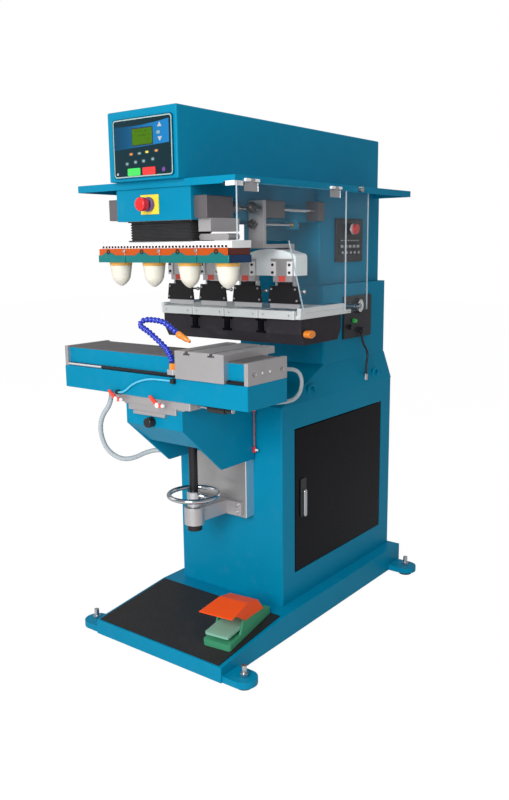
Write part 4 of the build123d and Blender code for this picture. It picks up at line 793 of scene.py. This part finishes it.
class PADPRINTER_OT_cords(bpy.types.Operator):
    """Corrugated conduits, the black cable and the blue air tube"""

    bl_idname = "padprinter.cords"
    bl_label = "Cords"

    def execute(self, context):
        for name, radius, material in (
            ("side_cable", 0.004, "black_plastic"), ("blue_air_tube", 0.003, "tube_blue"),
        ):
            points = CORD_ROUTES[name]
            piece = spline_object(name + "_line", points, radius)
            piece.data.materials.append(finish(material))
            self.declare(piece, name, 2 * radius, self.length(route_line(points)))
        rib_pitch, rib_depth = 0.0048, 0.0011
        for name, radius in (("left_conduit", 0.008), ("right_conduit", 0.006)):
            line = route_line(CORD_ROUTES[name])
            even, along = evenly(line, rib_pitch / 6)
            ridge = (0.5 + 0.5 * np.cos(along * 2 * math.pi / rib_pitch)) ** 0.6
            tube = tube_along(even, radius - rib_depth + rib_depth * ridge, 18)
            body = NODE_BODIES[name]
            piece = mesh_piece(name + "_ribbed", tube, body, "grey_conduit", 60, unit=1)
            path = even[::4].tolist() + [even[-1].tolist()]
            self.declare(piece, name, 2 * radius, self.length(line), path)
        return {"FINISHED"}

    def length(self, line):
        """Length of a polyline."""
        return float(np.linalg.norm(np.diff(line, axis=0), axis=1).sum())

    def declare(self, piece, node, diameter, length, path=None):
        """Rides and replaces one cord that runs from the object back into it."""
        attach(piece, NODE_BODIES[node])
        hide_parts(node)


# ---- housings -----------------------------------------------------------------------
class PADPRINTER_OT_stand(bpy.types.Operator):
    """Base, feet, mat, cabinet, door and column"""

    bl_idname = "padprinter.stand"
    bl_label = "Stand and column"

    def execute(self, context):
        edge = context.scene.padprinter_parts.edge
        softened("base_frame", ["teal_paint"], width=edge * 1.6)
        softened(
            "levelling_feet", ["zinc_steel", "black_plastic"], lambda low, high, mid: mid[2] < 9,
        )
        recoat("floor_mat", "black_rubber")
        softened(
            "cabinet_shell", ["teal_paint", "zinc_steel"],
            lambda low, high, mid: low[0] > 190, edge,
        )
        softened(
            "cabinet_door", ["door_paint", "black_plastic"],
            lambda low, high, mid: low[0] > 216, edge,
        )
        softened("latch_handle", ["chrome"], width=0.0006)
        units = ["zinc_steel", "bright_aluminium", "grey_plastic", "black_plastic"]
        softened("control_equipment", units, self.equipment)
        softened("lower_column", ["teal_paint", "zinc_steel"], self.gland, edge)
        softened("upper_column", ["teal_paint"], width=edge)
        return {"FINISHED"}

    def equipment(self, low, high, middle):
        """Finish of one control unit: plate, rail, pale unit or dark unit."""
        if high[0] < -197:
            return 0
        if high[1] - low[1] > 450:
            return 1
        return 3 if low[2] < 405 and low[1] > 190 and high[2] > 400 else 2

    def gland(self, low, high, middle):
        """Finish of the column's shoulder or of the cable gland on it."""
        return math.hypot(middle[0] - 210, middle[1] - 352) < 9 and middle[2] > 775


class PADPRINTER_OT_arm(bpy.types.Operator):
    """Canopy, hood, arm, rails and their bearings"""

    bl_idname = "padprinter.arm"
    bl_label = "Arm and hood"

    def execute(self, context):
        edge = context.scene.padprinter_parts.edge
        softened(
            "canopy_plate", ["teal_paint", "bright_enamel"],
            lambda low, high, mid: low[0] > 302, edge,
        )
        clip = [
            slab((275, -511, 1404), (303.5, -506.5, 1416)),
            slab((303, -511, 1404), (305.2, -474, 1416)),
        ]
        ends = [
            slab((266, -510.5, 1406), (275, -506.5, 1414)),
            slab((303, -474, 1406), (305, -468, 1412)),
        ]
        mesh_pieces((
            ("corner_clip", joined(clip), "bright_enamel"),
            ("corner_clip_ends", joined(ends), "black_plastic"),
        ), "machine", 30)
        softened("hood_cover", ["teal_paint"], width=edge * 1.5)
        softened("arm_sides", ["teal_paint"], width=edge * 0.7)
        softened("arm_front_cover", ["teal_paint"], width=edge)
        softened("guide_rails", ["ground_steel", "chrome"], lambda low, high, mid: high[2] < 1370)
        softened("guide_bearings", ["grey_anodised", "brass", "teal_paint"], self.bearing)
        foot, slot = slab((144, -470, 1290), (188, -345, 1326.4)), NODE_SLOTS["guide_bearings"]
        mesh_piece("bearing_foot", foot, "machine", "aluminium", 30)
        return {"FINISHED"}

    def bearing(self, low, high, middle):
        """Finish of a block, a bush or the link bracket."""
        return (high[0] < 180 and low[0] > 160) or 2 * (high[2] < 1330)


# ---- controls -----------------------------------------------------------------------
class PADPRINTER_OT_controls(bpy.types.Operator):
    """Keypad with its display and keys, emergency stops and side panels"""

    bl_idname = "padprinter.controls"
    bl_label = "Controls"

    def execute(self, context):
        self.keypad()
        self.stops()
        self.side_panel()
        self.air_panel()
        return {"FINISHED"}

    def keypad(self):
        """Layers pierced for the two moving keys, the display, and the keys printed on the film."""
        openings = [(-51.3, -1.7, 1443.7, 1464.3), (6.7, 55.3, 1443.7, 1464.3)]
        for name, inset, front, back, radius, material in (
            ("keypad_bezel", 0, -538, -534, 10, "teal_dark"),
            ("keypad_rim", 2.5, -538.3, -537, 9, "keypad_rim"),
            ("keypad_film", 5.5, FILM_FACE, -537, 7, "keypad_print"),
        ):
            low, high = (-108 + inset, front, 1438 + inset), (120 - inset, back, 1598 - inset)
            layer = pierced_slab(low, high, radius, openings)
            mesh_piece(name, layer, "machine", material, 50, "keypad_panel")
        border = rounded_slab((-32.5, -538.9, 1522.5), (48.5, FILM_FACE, 1569.5), 2, "y", 4)
        screen = rounded_slab((-30, -539.1, 1525), (46, -538.8, 1567), 1.5, "y", 4)
        options = [(-36, 1502), (-4, 1502), (25, 1504), (60, 1505)]
        modes = [(-53, 1477), (-20, 1480), (11, 1481), (46, 1484)]
        arrows = joined([self.arrow(1572, 1), self.arrow(1535, -1)])
        mesh_pieces((
            ("display_frame", border, "black_plastic"), ("display", screen, "display_glow"),
        ), "machine", 50)
        self.keys((
            ("option_keys", options, (9.5, 4.6), 0.5, "mode_key"),
            ("mode_keys", modes, (8.5, 6.0), 0.5, "mode_key"),
            ("option_marks", options[::3], (5.0, 2.6), 0.7, "orange_plastic"),
            ("option_marks_2", options[1:2], (5.0, 2.6), 0.7, "mode_mark"),
            ("option_marks_3", options[2:3], (5.0, 2.6), 0.7, "yellow_plastic"),
            ("mode_marks", modes, (4.6, 3.2), 0.7, "mode_mark"),
        ))
        mesh_piece("arrow_keys", arrows, "machine", "grey_plastic", 50)
        self.keys((
            ("centre_key", [(69, 1552)], (6.5, 4.2), 0.5, "mode_mark"),
            ("round_key", [(85, 1455)], (6.0, 6.0), 0.5, "violet_key"),
            ("power_light", [(-92, 1451)], (3.5, 3.5), 0.4, "grey_plastic"),
        ))
        recoat("start_key", "green_plastic")
        recoat("stop_key", "stop_plastic")

    def keys(self, rows):
        """Rounded keys on the film: low slabs whose long sides end in half circles."""
        for name, places, (half, tall), thickness, material in rows:
            keys = joined([
                rounded_slab(
                    (x - half, FILM_FACE - thickness, z - tall), (x + half, FILM_FACE, z + tall),
                    min(half, tall) * 0.98, "y", 7,
                ) for x, z in places
            ])
            mesh_piece(name, keys, "machine", material, 50)

    def arrow(self, height, turn):
        """Triangular key that points up with turn 1 and down with turn -1."""
        points = [
            (x, y, height + rise * turn) for y in (FILM_FACE, FILM_FACE - 0.5)
            for x, rise in ((66, -5.6), (82, -5.6), (74, 6.4))
        ]
        return points, [[0, 1, 2], [5, 4, 3], [0, 3, 4, 1], [1, 4, 5, 2], [2, 5, 3, 0]]

    def stops(self):
        """Emergency stops: the front base is yellow with a violet face, the side base is dark."""
        softened(
            "estop_bases", ["yellow_plastic", "violet_plastic", "black_plastic"],
            lambda low, high, mid: mid[1] < -503.4 if high[1] < 0 else 2,
        )
        softened(
            "estop_front", ["red_plastic", "black_plastic"],
            lambda low, high, mid: mid[1] > -523, 0,
        )
        softened(
            "estop_side", ["red_plastic", "white_plastic"],
            lambda low, high, mid: mid[0] < 190, 0,
        )

    def side_panel(self):
        """Switch panel: a row of buttons under two rows of plain marks."""
        softened("side_panels", ["dark_panel"], width=0.001)
        button = [(0, 0), (4.6, 0), (4.6, 2.0), (3.6, 3.0), (0, 3.0)]
        buttons = [
            turned(button, (SWITCH_FACE, 244 + 27 * column, 1222), "x", 20) for column in range(5)
        ]
        marks = [
            slab((SWITCH_FACE, y - wide, z - tall), (SWITCH_FACE + 0.4, y + wide, z + tall))
            for z, pitch, wide, tall, count in ((1263, 21, 6.5, 1.6, 6), (1243, 27, 9.0, 4.6, 5))
            for y in range(240, 240 + pitch * count, pitch)
        ]
        mesh_pieces((
            ("panel_buttons", joined(buttons), "grey_plastic"),
            ("panel_marks", joined(marks), "grey_plastic"),
        ), "machine", 50)

    def air_panel(self):
        """Pressure gauge with its scale, a push-in fitting and a jack."""
        y, z, face = 330.0, 1036.0, GAUGE_FACE + 0.8
        ring = [(27, 0), (27, 2), (25.5, 4), (23, 4), (23, 0.4), (0, 0.4)]
        disc = [(0, 0.5), (22.9, 0.5), (22.9, 0.8), (0, 0.8)]
        fitting = [(0, 0), (8, 0), (8, 5), (6.5, 5), (6.5, 12), (4.2, 14), (0, 14)]
        jack = [(0, 0), (7, 0), (7, 4), (4.5, 4), (4.5, 9), (0, 9)]
        scale = []
        for turn in np.radians(np.linspace(-135, 135, 11)):
            tick = np.array([face, y + 19 * math.sin(turn), z + 19 * math.cos(turn)])
            scale.append(slab(tick - [0, 0.8, 0.8], tick + [0.2, 0.8, 0.8]))
        scale.append(slab((face, y - 0.6, z - 4), (face + 0.3, y + 0.6, z + 15)))
        mesh_pieces((
            ("air_gauge", turned(ring, (GAUGE_FACE, y, z), "x", 56), "black_plastic"),
            ("gauge_dial", turned(disc, (GAUGE_FACE, y, z), "x", 56), "white_plastic"),
            ("gauge_ticks", joined(scale), "black_plastic"),
            ("air_fitting", turned(fitting, (AIR_FACE, 297, 985), "x", 28), "green_plastic"),
            ("panel_jack", turned(jack, (AIR_FACE, 268, 1040), "x", 28), "zinc_steel"),
        ), "machine", 50)


# ---- head ---------------------------------------------------------------------------
class PADPRINTER_OT_head(bpy.types.Operator):
    """Head carriage, bellows, pad plate, clamp bar, holders and pads"""

    bl_idname = "padprinter.head"
    bl_label = "Head and pads"

    def execute(self, context):
        softened("head_carriage", ["aluminium", "chrome"], lambda low, high, mid: high[0] < 30)
        self.bellows(context.scene.padprinter_parts.pleats)
        softened("pad_plate", ["aluminium", "chrome", "bright_enamel", "black_plastic"], self.plate)
        # The clamp bar's right end faces get a darker copy of the orange: painted shade.
        softened(
            "pad_clamp_bar", ["orange_anodised", "zinc_steel", "dark_red_anodised"],
            lambda low, high, mid: high[0] - low[0] < 20 or 2 * (mid[0] > 251.5),
        )
        # The holders' right end faces get a darker copy of the teal: painted shade.
        softened(
            "pad_holders", ["teal_anodised", "navy_anodised"],
            lambda low, high, mid: mid[0] > 255.5,
        )
        brace = rounded_slab((130, -452, 1266.5), (236, -404, 1284), 8, "y", 7)
        mesh_piece("plate_brace", brace, "pad_lift", "aluminium", 45)
        self.pads()
        self.clamp_details()
        return {"FINISHED"}

    def plate(self, low, high, middle):
        """Finish of a face of the plate or its posts: broad side, post, bright edge or notch."""
        if high[0] - low[0] < 100:
            return 1
        if middle[1] < -469.4 or middle[0] > 260.4:
            return 2
        return 3 if middle[1] < -463.5 and 1246 < middle[2] < 1254 else 0

    def bellows(self, pleats):
        """Folded box, drawn in by 3 mm * (0.5 - 0.5 cos(2 pi pleats t)) ** 0.8 at height t."""
        top, low = 1320, 1267
        t = np.linspace(0, 1, pleats * 12 + 1)
        inset = 3 * (0.5 - 0.5 * np.cos(2 * math.pi * pleats * t)) ** 0.8
        cut = 10
        corners = np.array([
            (1, -1, 0, cut), (1, 1, 0, -cut), (1, 1, -cut, 0), (-1, 1, cut, 0), (-1, 1, 0, -cut),
            (-1, -1, 0, cut), (-1, -1, cut, 0), (1, -1, -cut, 0),
        ])
        half = np.array([124.5, 48.5]) - inset[:, None, None]
        rings = corners[:, :2] * half + corners[:, 2:] + (0, PAD_LINE)
        heights = np.repeat(top + (low - top) * t, len(corners))
        folds = np.column_stack([rings.reshape(-1, 2), heights]), ring_faces(len(t), len(corners))
        slot = "bellows_fabric"
        cloth = mesh_piece("bellows_cloth", folds, None, slot, 70, "bellows")
        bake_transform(cloth)
        for name, body, base in (("bellows_top", "head", 1319), ("bellows_foot", "pad_lift", 1265)):
            flange = rounded_slab((-126, -478, base), (126, -378, base + 3), 6, "z", 6)
            mesh_piece(name, flange, body, "black_plastic", 40, "bellows")

    def pads(self):
        """Four silicone domes on amber rims, turned about a vertical axis.

        A dome's flank and nose: (1-s)^3 a + 3 (1-s)^2 s b + 3 (1-s) s^2 c + s^3 d, s in 0..1.
        """
        s = np.linspace(0, 1, 26)[:, None]
        a, b, c, d = np.array([(28.0, 1162.0), (26.0, 1149.0), (10.0, 1133.4), (0.0, 1132.0)])
        nose = (1 - s) ** 3 * a + 3 * (1 - s) ** 2 * s * b + 3 * (1 - s) * s ** 2 * c + s ** 3 * d
        dome = [(0, 1195.0), (32.4, 1195.0), (33.0, 1194.4), (31.6, 1184.0), *nose]
        rim = [
            (0, 1205.0), (34.4, 1205.0), (35.0, 1204.3), (34.2, 1200.0), (33.2, 1195.4),
            (32.8, 1195.0), (0, 1195.0),
        ]
        tags = ("left_outer", "left_inner", "right_inner", "right_outer")
        mesh_pieces([
            (name + tag, turned(profile, (x, PAD_LINE, 0), "z", 72), material)
            for x, tag in zip(PAD_CENTRES, tags)
            for name, profile, material in (("pad_", dome, "silicone"), ("pad_rim_", rim, "amber"))
        ], "pad_lift", 50, "pads")

    def clamp_details(self):
        """Dark washers and pale dividers on the clamp bar's front."""
        lines = [slab((x - 0.9, -478.5, 1226.5), (x + 0.9, -478.0, 1244.5)) for x in (-141, 0, 141)]
        washer = [(3.2, 0), (7.2, 0), (7.2, -0.9), (3.2, -0.9)]
        washers = [turned(washer, (x, -478, 1236), "y", 28) for x in PAD_CENTRES]
        mesh_pieces((
            ("bar_lines", joined(lines), "bright_aluminium"),
            ("bar_washers", joined(washers), "black_plastic"),
        ), "pad_lift", 40)


# ---- doctor -------------------------------------------------------------------------
class PADPRINTER_OT_doctor(bpy.types.Operator):
    """Hangers, link rod, doctor beam, blade holders and blades"""

    bl_idname = "padprinter.doctor"
    bl_label = "Doctor blades"

    def execute(self, context):
        softened(
            "doctor_hangers", ["grey_anodised", "aluminium"],
            lambda low, high, mid: low[2] < 1300, 0.0012,
        )
        softened(
            "link_rod", ["chrome", "black_plastic"],
            lambda low, high, mid: high[0] - low[0] > 12, 0.0004,
        )
        softened("doctor_beam", ["light_paint"], width=0.0012)
        softened("doctor_units", ["aluminium", "white_plastic", "zinc_steel"], self.unit)
        finishes = ["black_anodised", "bright_aluminium", "zinc_steel"]
        softened("blade_holders", finishes, self.blade, 0.0006)
        self.fastenings()
        return {"FINISHED"}

    def unit(self, low, high, middle):
        """Finish of a doctor unit's solid: body, clamp plate or pivot."""
        return 1 if high[1] - low[1] < 6 else 2 * (high[2] < 1142)

    def blade(self, low, high, middle):
        """Finish of a blade holder's solid: holder, blade or lever."""
        return 1 if high[1] - low[1] < 3 else 2 * (high[0] - low[0] < 60)

    def fastenings(self):
        """Four screws in each clamp plate, corner screws on the holders and plain red labels."""
        corners = [(side, z) for side in (-31, 31) for z in (1169, 1192)]
        clamp = [(x + side, -176, z) for x in PAD_CENTRES for side, z in corners]
        holder = [
            (x + side * wide, -164, z) for x in PAD_CENTRES for side in (-1, 1)
            for wide, z in ((44, 1119), (50, 1085))
        ]
        labels = [slab((x - 15, -168.4, 1142), (x + 11, -168, 1158.6)) for x in PAD_CENTRES]
        for name, part, body, material in (
            ("clamp_plate_screws", screw_heads(clamp, 4.2, 3.2), "doctor", "black_plastic"),
            ("holder_screws", screw_heads(holder, 3.6, 2.8), "doctor_blades", "zinc_steel"),
            ("plain_labels", joined(labels), "doctor", "label_red"),
        ):
            mesh_piece(name, part, body, material, 45)


# ---- tray ---------------------------------------------------------------------------
class PADPRINTER_OT_tray(bpy.types.Operator):
    """Tray, printing plates and trough"""

    bl_idname = "padprinter.tray"
    bl_label = "Plates and ink tray"

    def execute(self, context):
        softened("tray_frame", ["tray_aluminium"])
        softened(
            "plate_holders", ["tray_aluminium", "plate_face"],
            lambda low, high, mid: mid[1] < -180.5, 0.0006,
        )
        softened("ink_trough", ["black_paint"], width=0.001)
        softened("trough_knob", ["orange_plastic"], width=0)
        screws = [(centre + side, -192, 1043) for centre in PLATE_CENTRES for side in (-48, 48)]
        edges = [
            slab((x - 1.2, -192.4, 1031), (x + 1.2, -180, 1056.4))
            for centre in PLATE_CENTRES for x in (centre - 64.2, centre + 64.2)
        ]
        straps = [
            slab((x - wide, -181.0, low), (x + wide, -175.0, high)) for x in (-135.5, 0, 135.5)
            for wide, low, high in ((19, 1021, 1029.5), (9.5, 990, 1022), (17, 984.5, 991))
        ]
        mesh_pieces((
            ("plate_screws", screw_heads(screws, 2.6, 2.0), "zinc_steel"),
            ("plate_edges", joined(edges), "bright_enamel"),
        ), "machine", 45)
        mesh_piece("trough_straps", joined(straps), "machine", "door_paint", 45)
        return {"FINISHED"}


# ---- knee and shuttle -----------------------------------------------------------------
class PADPRINTER_OT_knee(bpy.types.Operator):
    """Slideway, knee, elevating screw, handwheel and cross slide"""

    bl_idname = "padprinter.knee"
    bl_label = "Knee"

    def execute(self, context):
        edge = context.scene.padprinter_parts.edge
        finishes = ["ground_steel", "aluminium", "zinc_steel", "bright_aluminium"]
        softened("slideway_plate", finishes, self.slideway, 0.001)
        softened(
            "knee_frame", ["teal_paint", "brass", "aluminium"],
            lambda low, high, mid: high[0] < 30 or 2 * (mid[2] > 756 and low[2] > 750), edge,
        )
        softened("knee_sides", ["teal_paint"], width=edge)
        softened("knee_lock_knob", ["black_plastic"], width=0)
        softened(
            "elevating_screw", ["dark_steel", "zinc_steel"],
            lambda low, high, mid: high[2] - low[2] < 15,
        )
        softened("handwheel", ["chrome"], width=0)
        softened("cross_plate", ["aluminium"], width=0.001)
        softened(
            "cross_knob", ["black_plastic", "chrome"],
            lambda low, high, mid: not 200 <= mid[0] <= 279, 0,
        )
        self.lever("clamp_lever_left", np.array([-125, 806.0]))
        self.lever("clamp_lever_right", np.array([45, 806.0]))
        self.oil_line()
        return {"FINISHED"}

    def slideway(self, low, high, middle):
        """Finish of the ground plate, the bearing arm, a screw or the plate's right edge."""
        if high[2] - low[2] < 15:
            return 2
        return high[2] < 450 or 3 * (middle[0] > 102.4)

    def lever(self, node, hub):
        """Clamping lever: red hulls from the hub to both tips, white caps and a steel stud."""
        lean = math.radians(140)
        tip = hub + 34 * np.array([math.cos(lean), math.sin(lean)])
        short = hub + [22, 0]
        boss = [(0, 5), (7.6, 5), (7.6, -4.2), (6.8, -5), (0, -5)]
        cap = [(0, 3), (5.2, 3), (5.2, -2.4), (4.4, -3), (0, -3)]
        stud = [(0, 6), (4, 6), (4, -6), (0, -6)]
        arms = joined([self.hull(hub, 6.5, tip, 4.5), self.hull(hub, 6.5, short, 5.0)])
        caps = joined([
            turned(boss, (hub[0], -553, hub[1]), "y", 32),
            turned(cap, (short[0], -555, short[1]), "y", 28),
        ])
        mesh_pieces((
            (node + "_arms", arms, "lever_plastic"), (node + "_boss", caps, "white_plastic"),
            (node + "_stud", turned(stud, (hub[0], -543, hub[1]), "y", 24), "zinc_steel"),
        ), NODE_BODIES[node], 40, node)

    def hull(self, first, first_radius, second, second_radius):
        """Prism over two circles' outline: its tangents touch at acos of the radii's step."""
        reach = second - first
        heading = math.atan2(reach[1], reach[0])
        spread = math.acos((first_radius - second_radius) / np.linalg.norm(reach))
        outline = [
            centre + radius * np.array([math.cos(angle), math.sin(angle)])
            for centre, radius, start, end in (
                (second, second_radius, heading - spread, heading + spread),
                (first, first_radius, heading + spread, heading + 2 * math.pi - spread),
            )
            for angle in np.linspace(start, end, 14)
        ]
        points = [(x, y, z) for y in LEVER_FACES for x, z in outline]
        return points, capped_faces(2, len(outline))

    def oil_line(self):
        """Thin red oil line on the knee's right side, with a fitting at each end."""
        line = np.array([(119, -197, z) for z in (738, 706, 674, 642, 612)], float)
        fitting = [(0, -9), (4, -9), (5.5, -7), (5.5, 7), (4, 9), (0, 9)]
        fittings = joined([turned(fitting, (118.8, -197, z), "z", 6) for z in (742, 610)])
        nipple = turned([(0, 0), (3.4, 0), (3.4, 7), (2.4, 9), (0, 9)], (124, -197, 610), "x", 20)
        mesh_pieces((
            ("oil_tube", tube_along(line, [1.6] * len(line), 12), "label_red"),
            ("oil_fittings", fittings, "red_plastic"), ("oil_nipple", nipple, "white_plastic"),
        ), "knee", 45)


class PADPRINTER_OT_shuttle(bpy.types.Operator):
    """Shuttle bed, cover, carriage and nozzle hose"""

    bl_idname = "padprinter.shuttle"
    bl_label = "Shuttle"

    def execute(self, context):
        settings = context.scene.padprinter_parts
        softened(
            "shuttle_bed", ["teal_paint", "ground_steel", "black_plastic"],
            lambda low, high, mid: low[2] > 887 or 2 * (high[0] - low[0] < 20), settings.edge,
        )
        finishes = ["teal_paint", "grey_anodised", "aluminium", "rod_steel", "white_plastic"]
        softened("rail_cover", finishes, self.cover, 0.001)
        softened("shuttle_carriage", ["aluminium"], width=0.001)
        self.hose(settings.hose_pitch)
        return {"FINISHED"}

    def cover(self, low, high, middle):
        """Finish of the cover, its top, the end plates and their screws, or the rod."""
        if high[0] - low[0] < 20:
            screw = min(math.hypot(middle[1] - y, middle[2] - 916) for y in (-476, -442))
            return 4 if screw < 4.6 and abs(middle[0]) > 362.5 else 2
        return 3 if high[1] - low[1] < 12 else middle[2] > 940.5

    def hose(self, pitch):
        """Ball-and-skirt segments along the route, each turned about its piece of the line.

        Along its length, in shares of 1.03 pitches, a segment's radius is a skirt that swells to
        8.8 mm, a neck of 4.6 mm and a ball of 7 mm that enters the next skirt.
        """
        route = [
            (0.099, -0.546, 0.934), (0.091, -0.541, 0.952), (0.059, -0.530, 0.972),
            (0.022, -0.527, 0.994), (-0.014, -0.525, 1.015), (-0.044, -0.520, 1.022),
            (-0.056, -0.513, 1.034), (-0.037, -0.506, 1.043), (-0.008, -0.505, 1.043),
            (0.031, -0.505, 1.041), (0.061, -0.505, 1.025), (0.088, -0.505, 1.008),
        ]
        joints, _ = evenly(evenly(route_line(route), 0.0006)[0], pitch)
        shape = np.array([
            (4.4, 0.0), (7.9, 0.0), (8.5, 0.05), (8.8, 0.16), (8.1, 0.32), (6.2, 0.44), (4.6, 0.52),
            (4.6, 0.58), (6.2, 0.68), (7.0, 0.8), (6.6, 0.92), (5.0, 1.02), (0.0, 1.02),
        ]) * (MM, pitch * 1.03)
        steps = 28
        segments = joined([
            self.spun(shape, start, end - start, steps) for start, end in zip(joints, joints[1:])
        ])
        # A flat face closes the start of each segment.
        starts = range(0, len(segments[0]), steps * len(shape))
        segments[1].extend(list(range(start, start + steps)) for start in starts)
        block = rounded_slab((0.090, -0.558, 0.899), (0.114, -0.534, 0.914), 0.003, "z", 6)
        socket = np.array([(0, 0), (9.5, 0), (9.5, 14), (8.0, 18), (0, 18)]) * MM
        socket = self.spun(socket, (0.102, -0.546, 0.912), (0, 0, 1), 6)
        nozzle = np.array([
            (0, 0), (9.6, 0), (9.6, 12), (8.4, 14), (8.2, 16), (7.6, 34), (5.4, 38), (4.2, 47),
            (3.8, 49), (2.4, 49), (2.4, 46), (0, 46),
        ]) * MM
        nozzle = self.spun(nozzle, joints[-1], (0.052, 0.0, -0.023), steps)
        for name, part, material, smooth, slot in (
            ("hose_segments", segments, "blue_plastic", 40, "blue_plastic"),
            ("hose_block", block, "bright_aluminium", 30, "orange_plastic"),
            ("hose_socket", socket, "orange_plastic", 30, "orange_plastic"),
            ("hose_nozzle", nozzle, "orange_plastic", 40, "orange_plastic"),
        ):
            mesh_piece(name, part, "carriage", material, smooth, "air_nozzle_hose", 1)

    def spun(self, profile, start, axis, steps):
        """Surface of revolution from a point along a slanted axis."""
        axis = np.asarray(axis, float) / np.linalg.norm(axis)
        side = np.cross(axis, (0.0, 1.0, 0.0))
        side = side / np.linalg.norm(side)
        return revolved(profile, start, axis, side, np.cross(axis, side), steps)


# ---- guards and pedal -----------------------------------------------------------------
class PADPRINTER_OT_guards(bpy.types.Operator):
    """Clear guards, their clamps and the foot pedal"""

    bl_idname = "padprinter.guards"
    bl_label = "Guards and pedal"

    def execute(self, context):
        sheet = ["clear_acrylic", "sheet_edge"]
        softened("front_guard", sheet + ["zinc_steel"], self.front_sheet, 0.0004)
        softened("rear_guard", sheet + ["chrome"], self.rear_sheet, 0.0004)
        softened("pedal_base", ["green_paint"], width=0.001)
        softened("pedal_hood", ["orange_paint"], width=0.0012)
        softened("treadle", ["pale_green_paint"], width=0.001)
        return {"FINISHED"}

    def front_sheet(self, low, high, middle):
        """Finish of the hinged sheet, its cut edge or a hinge."""
        return 2 if middle[0] < 305.4 or middle[2] > 1412 else 305.9 < middle[0] < 310.1

    def rear_sheet(self, low, high, middle):
        """Finish of the strip, its cut edge or a clamp."""
        return 2 if high[2] - low[2] < 30 else low[0] + 0.4 < middle[0] < high[0] - 0.4


# ---- panel and registration -------------------------------------------------------------
PIECES = (
    PADPRINTER_OT_stand, PADPRINTER_OT_arm, PADPRINTER_OT_controls, PADPRINTER_OT_head,
    PADPRINTER_OT_doctor, PADPRINTER_OT_tray, PADPRINTER_OT_knee, PADPRINTER_OT_shuttle,
    PADPRINTER_OT_guards, PADPRINTER_OT_cords, PADPRINTER_OT_stage,
)


class PADPRINTER_PT_panel(bpy.types.Panel):
    """Buttons for each group of pieces"""

    bl_idname = "PADPRINTER_PT_panel"
    bl_label = "Pad printer"
    bl_space_type = "VIEW_3D"
    bl_region_type = "UI"
    bl_category = "Pad printer"

    def draw(self, context):
        for settings in (context.scene.padprinter_parts, context.scene.padprinter_stage):
            column = self.layout.column()
            for name in settings.__annotations__:
                column.prop(settings, name)
        column = self.layout.column()
        for operator in PIECES:
            column.operator(operator.bl_idname)


CLASSES = (PartsSettings, StageSettings, *PIECES, PADPRINTER_PT_panel)


def register():
    """Adds the settings, the operators and the panel."""
    for entry in CLASSES:
        bpy.utils.register_class(entry)
    bpy.types.Scene.padprinter_parts = PointerProperty(type=PartsSettings)
    bpy.types.Scene.padprinter_stage = PointerProperty(type=StageSettings)


def unregister():
    """Removes what register adds."""
    del bpy.types.Scene.padprinter_stage
    del bpy.types.Scene.padprinter_parts
    for entry in reversed(CLASSES):
        bpy.utils.unregister_class(entry)


def main():
    """Registers the add-on and builds every piece."""
    register()
    for operator in PIECES:
        group, name = operator.bl_idname.split(".")
        getattr(getattr(bpy.ops, group), name)()
    bpy.context.view_layer.update()


if __name__ == "__main__":
    main()
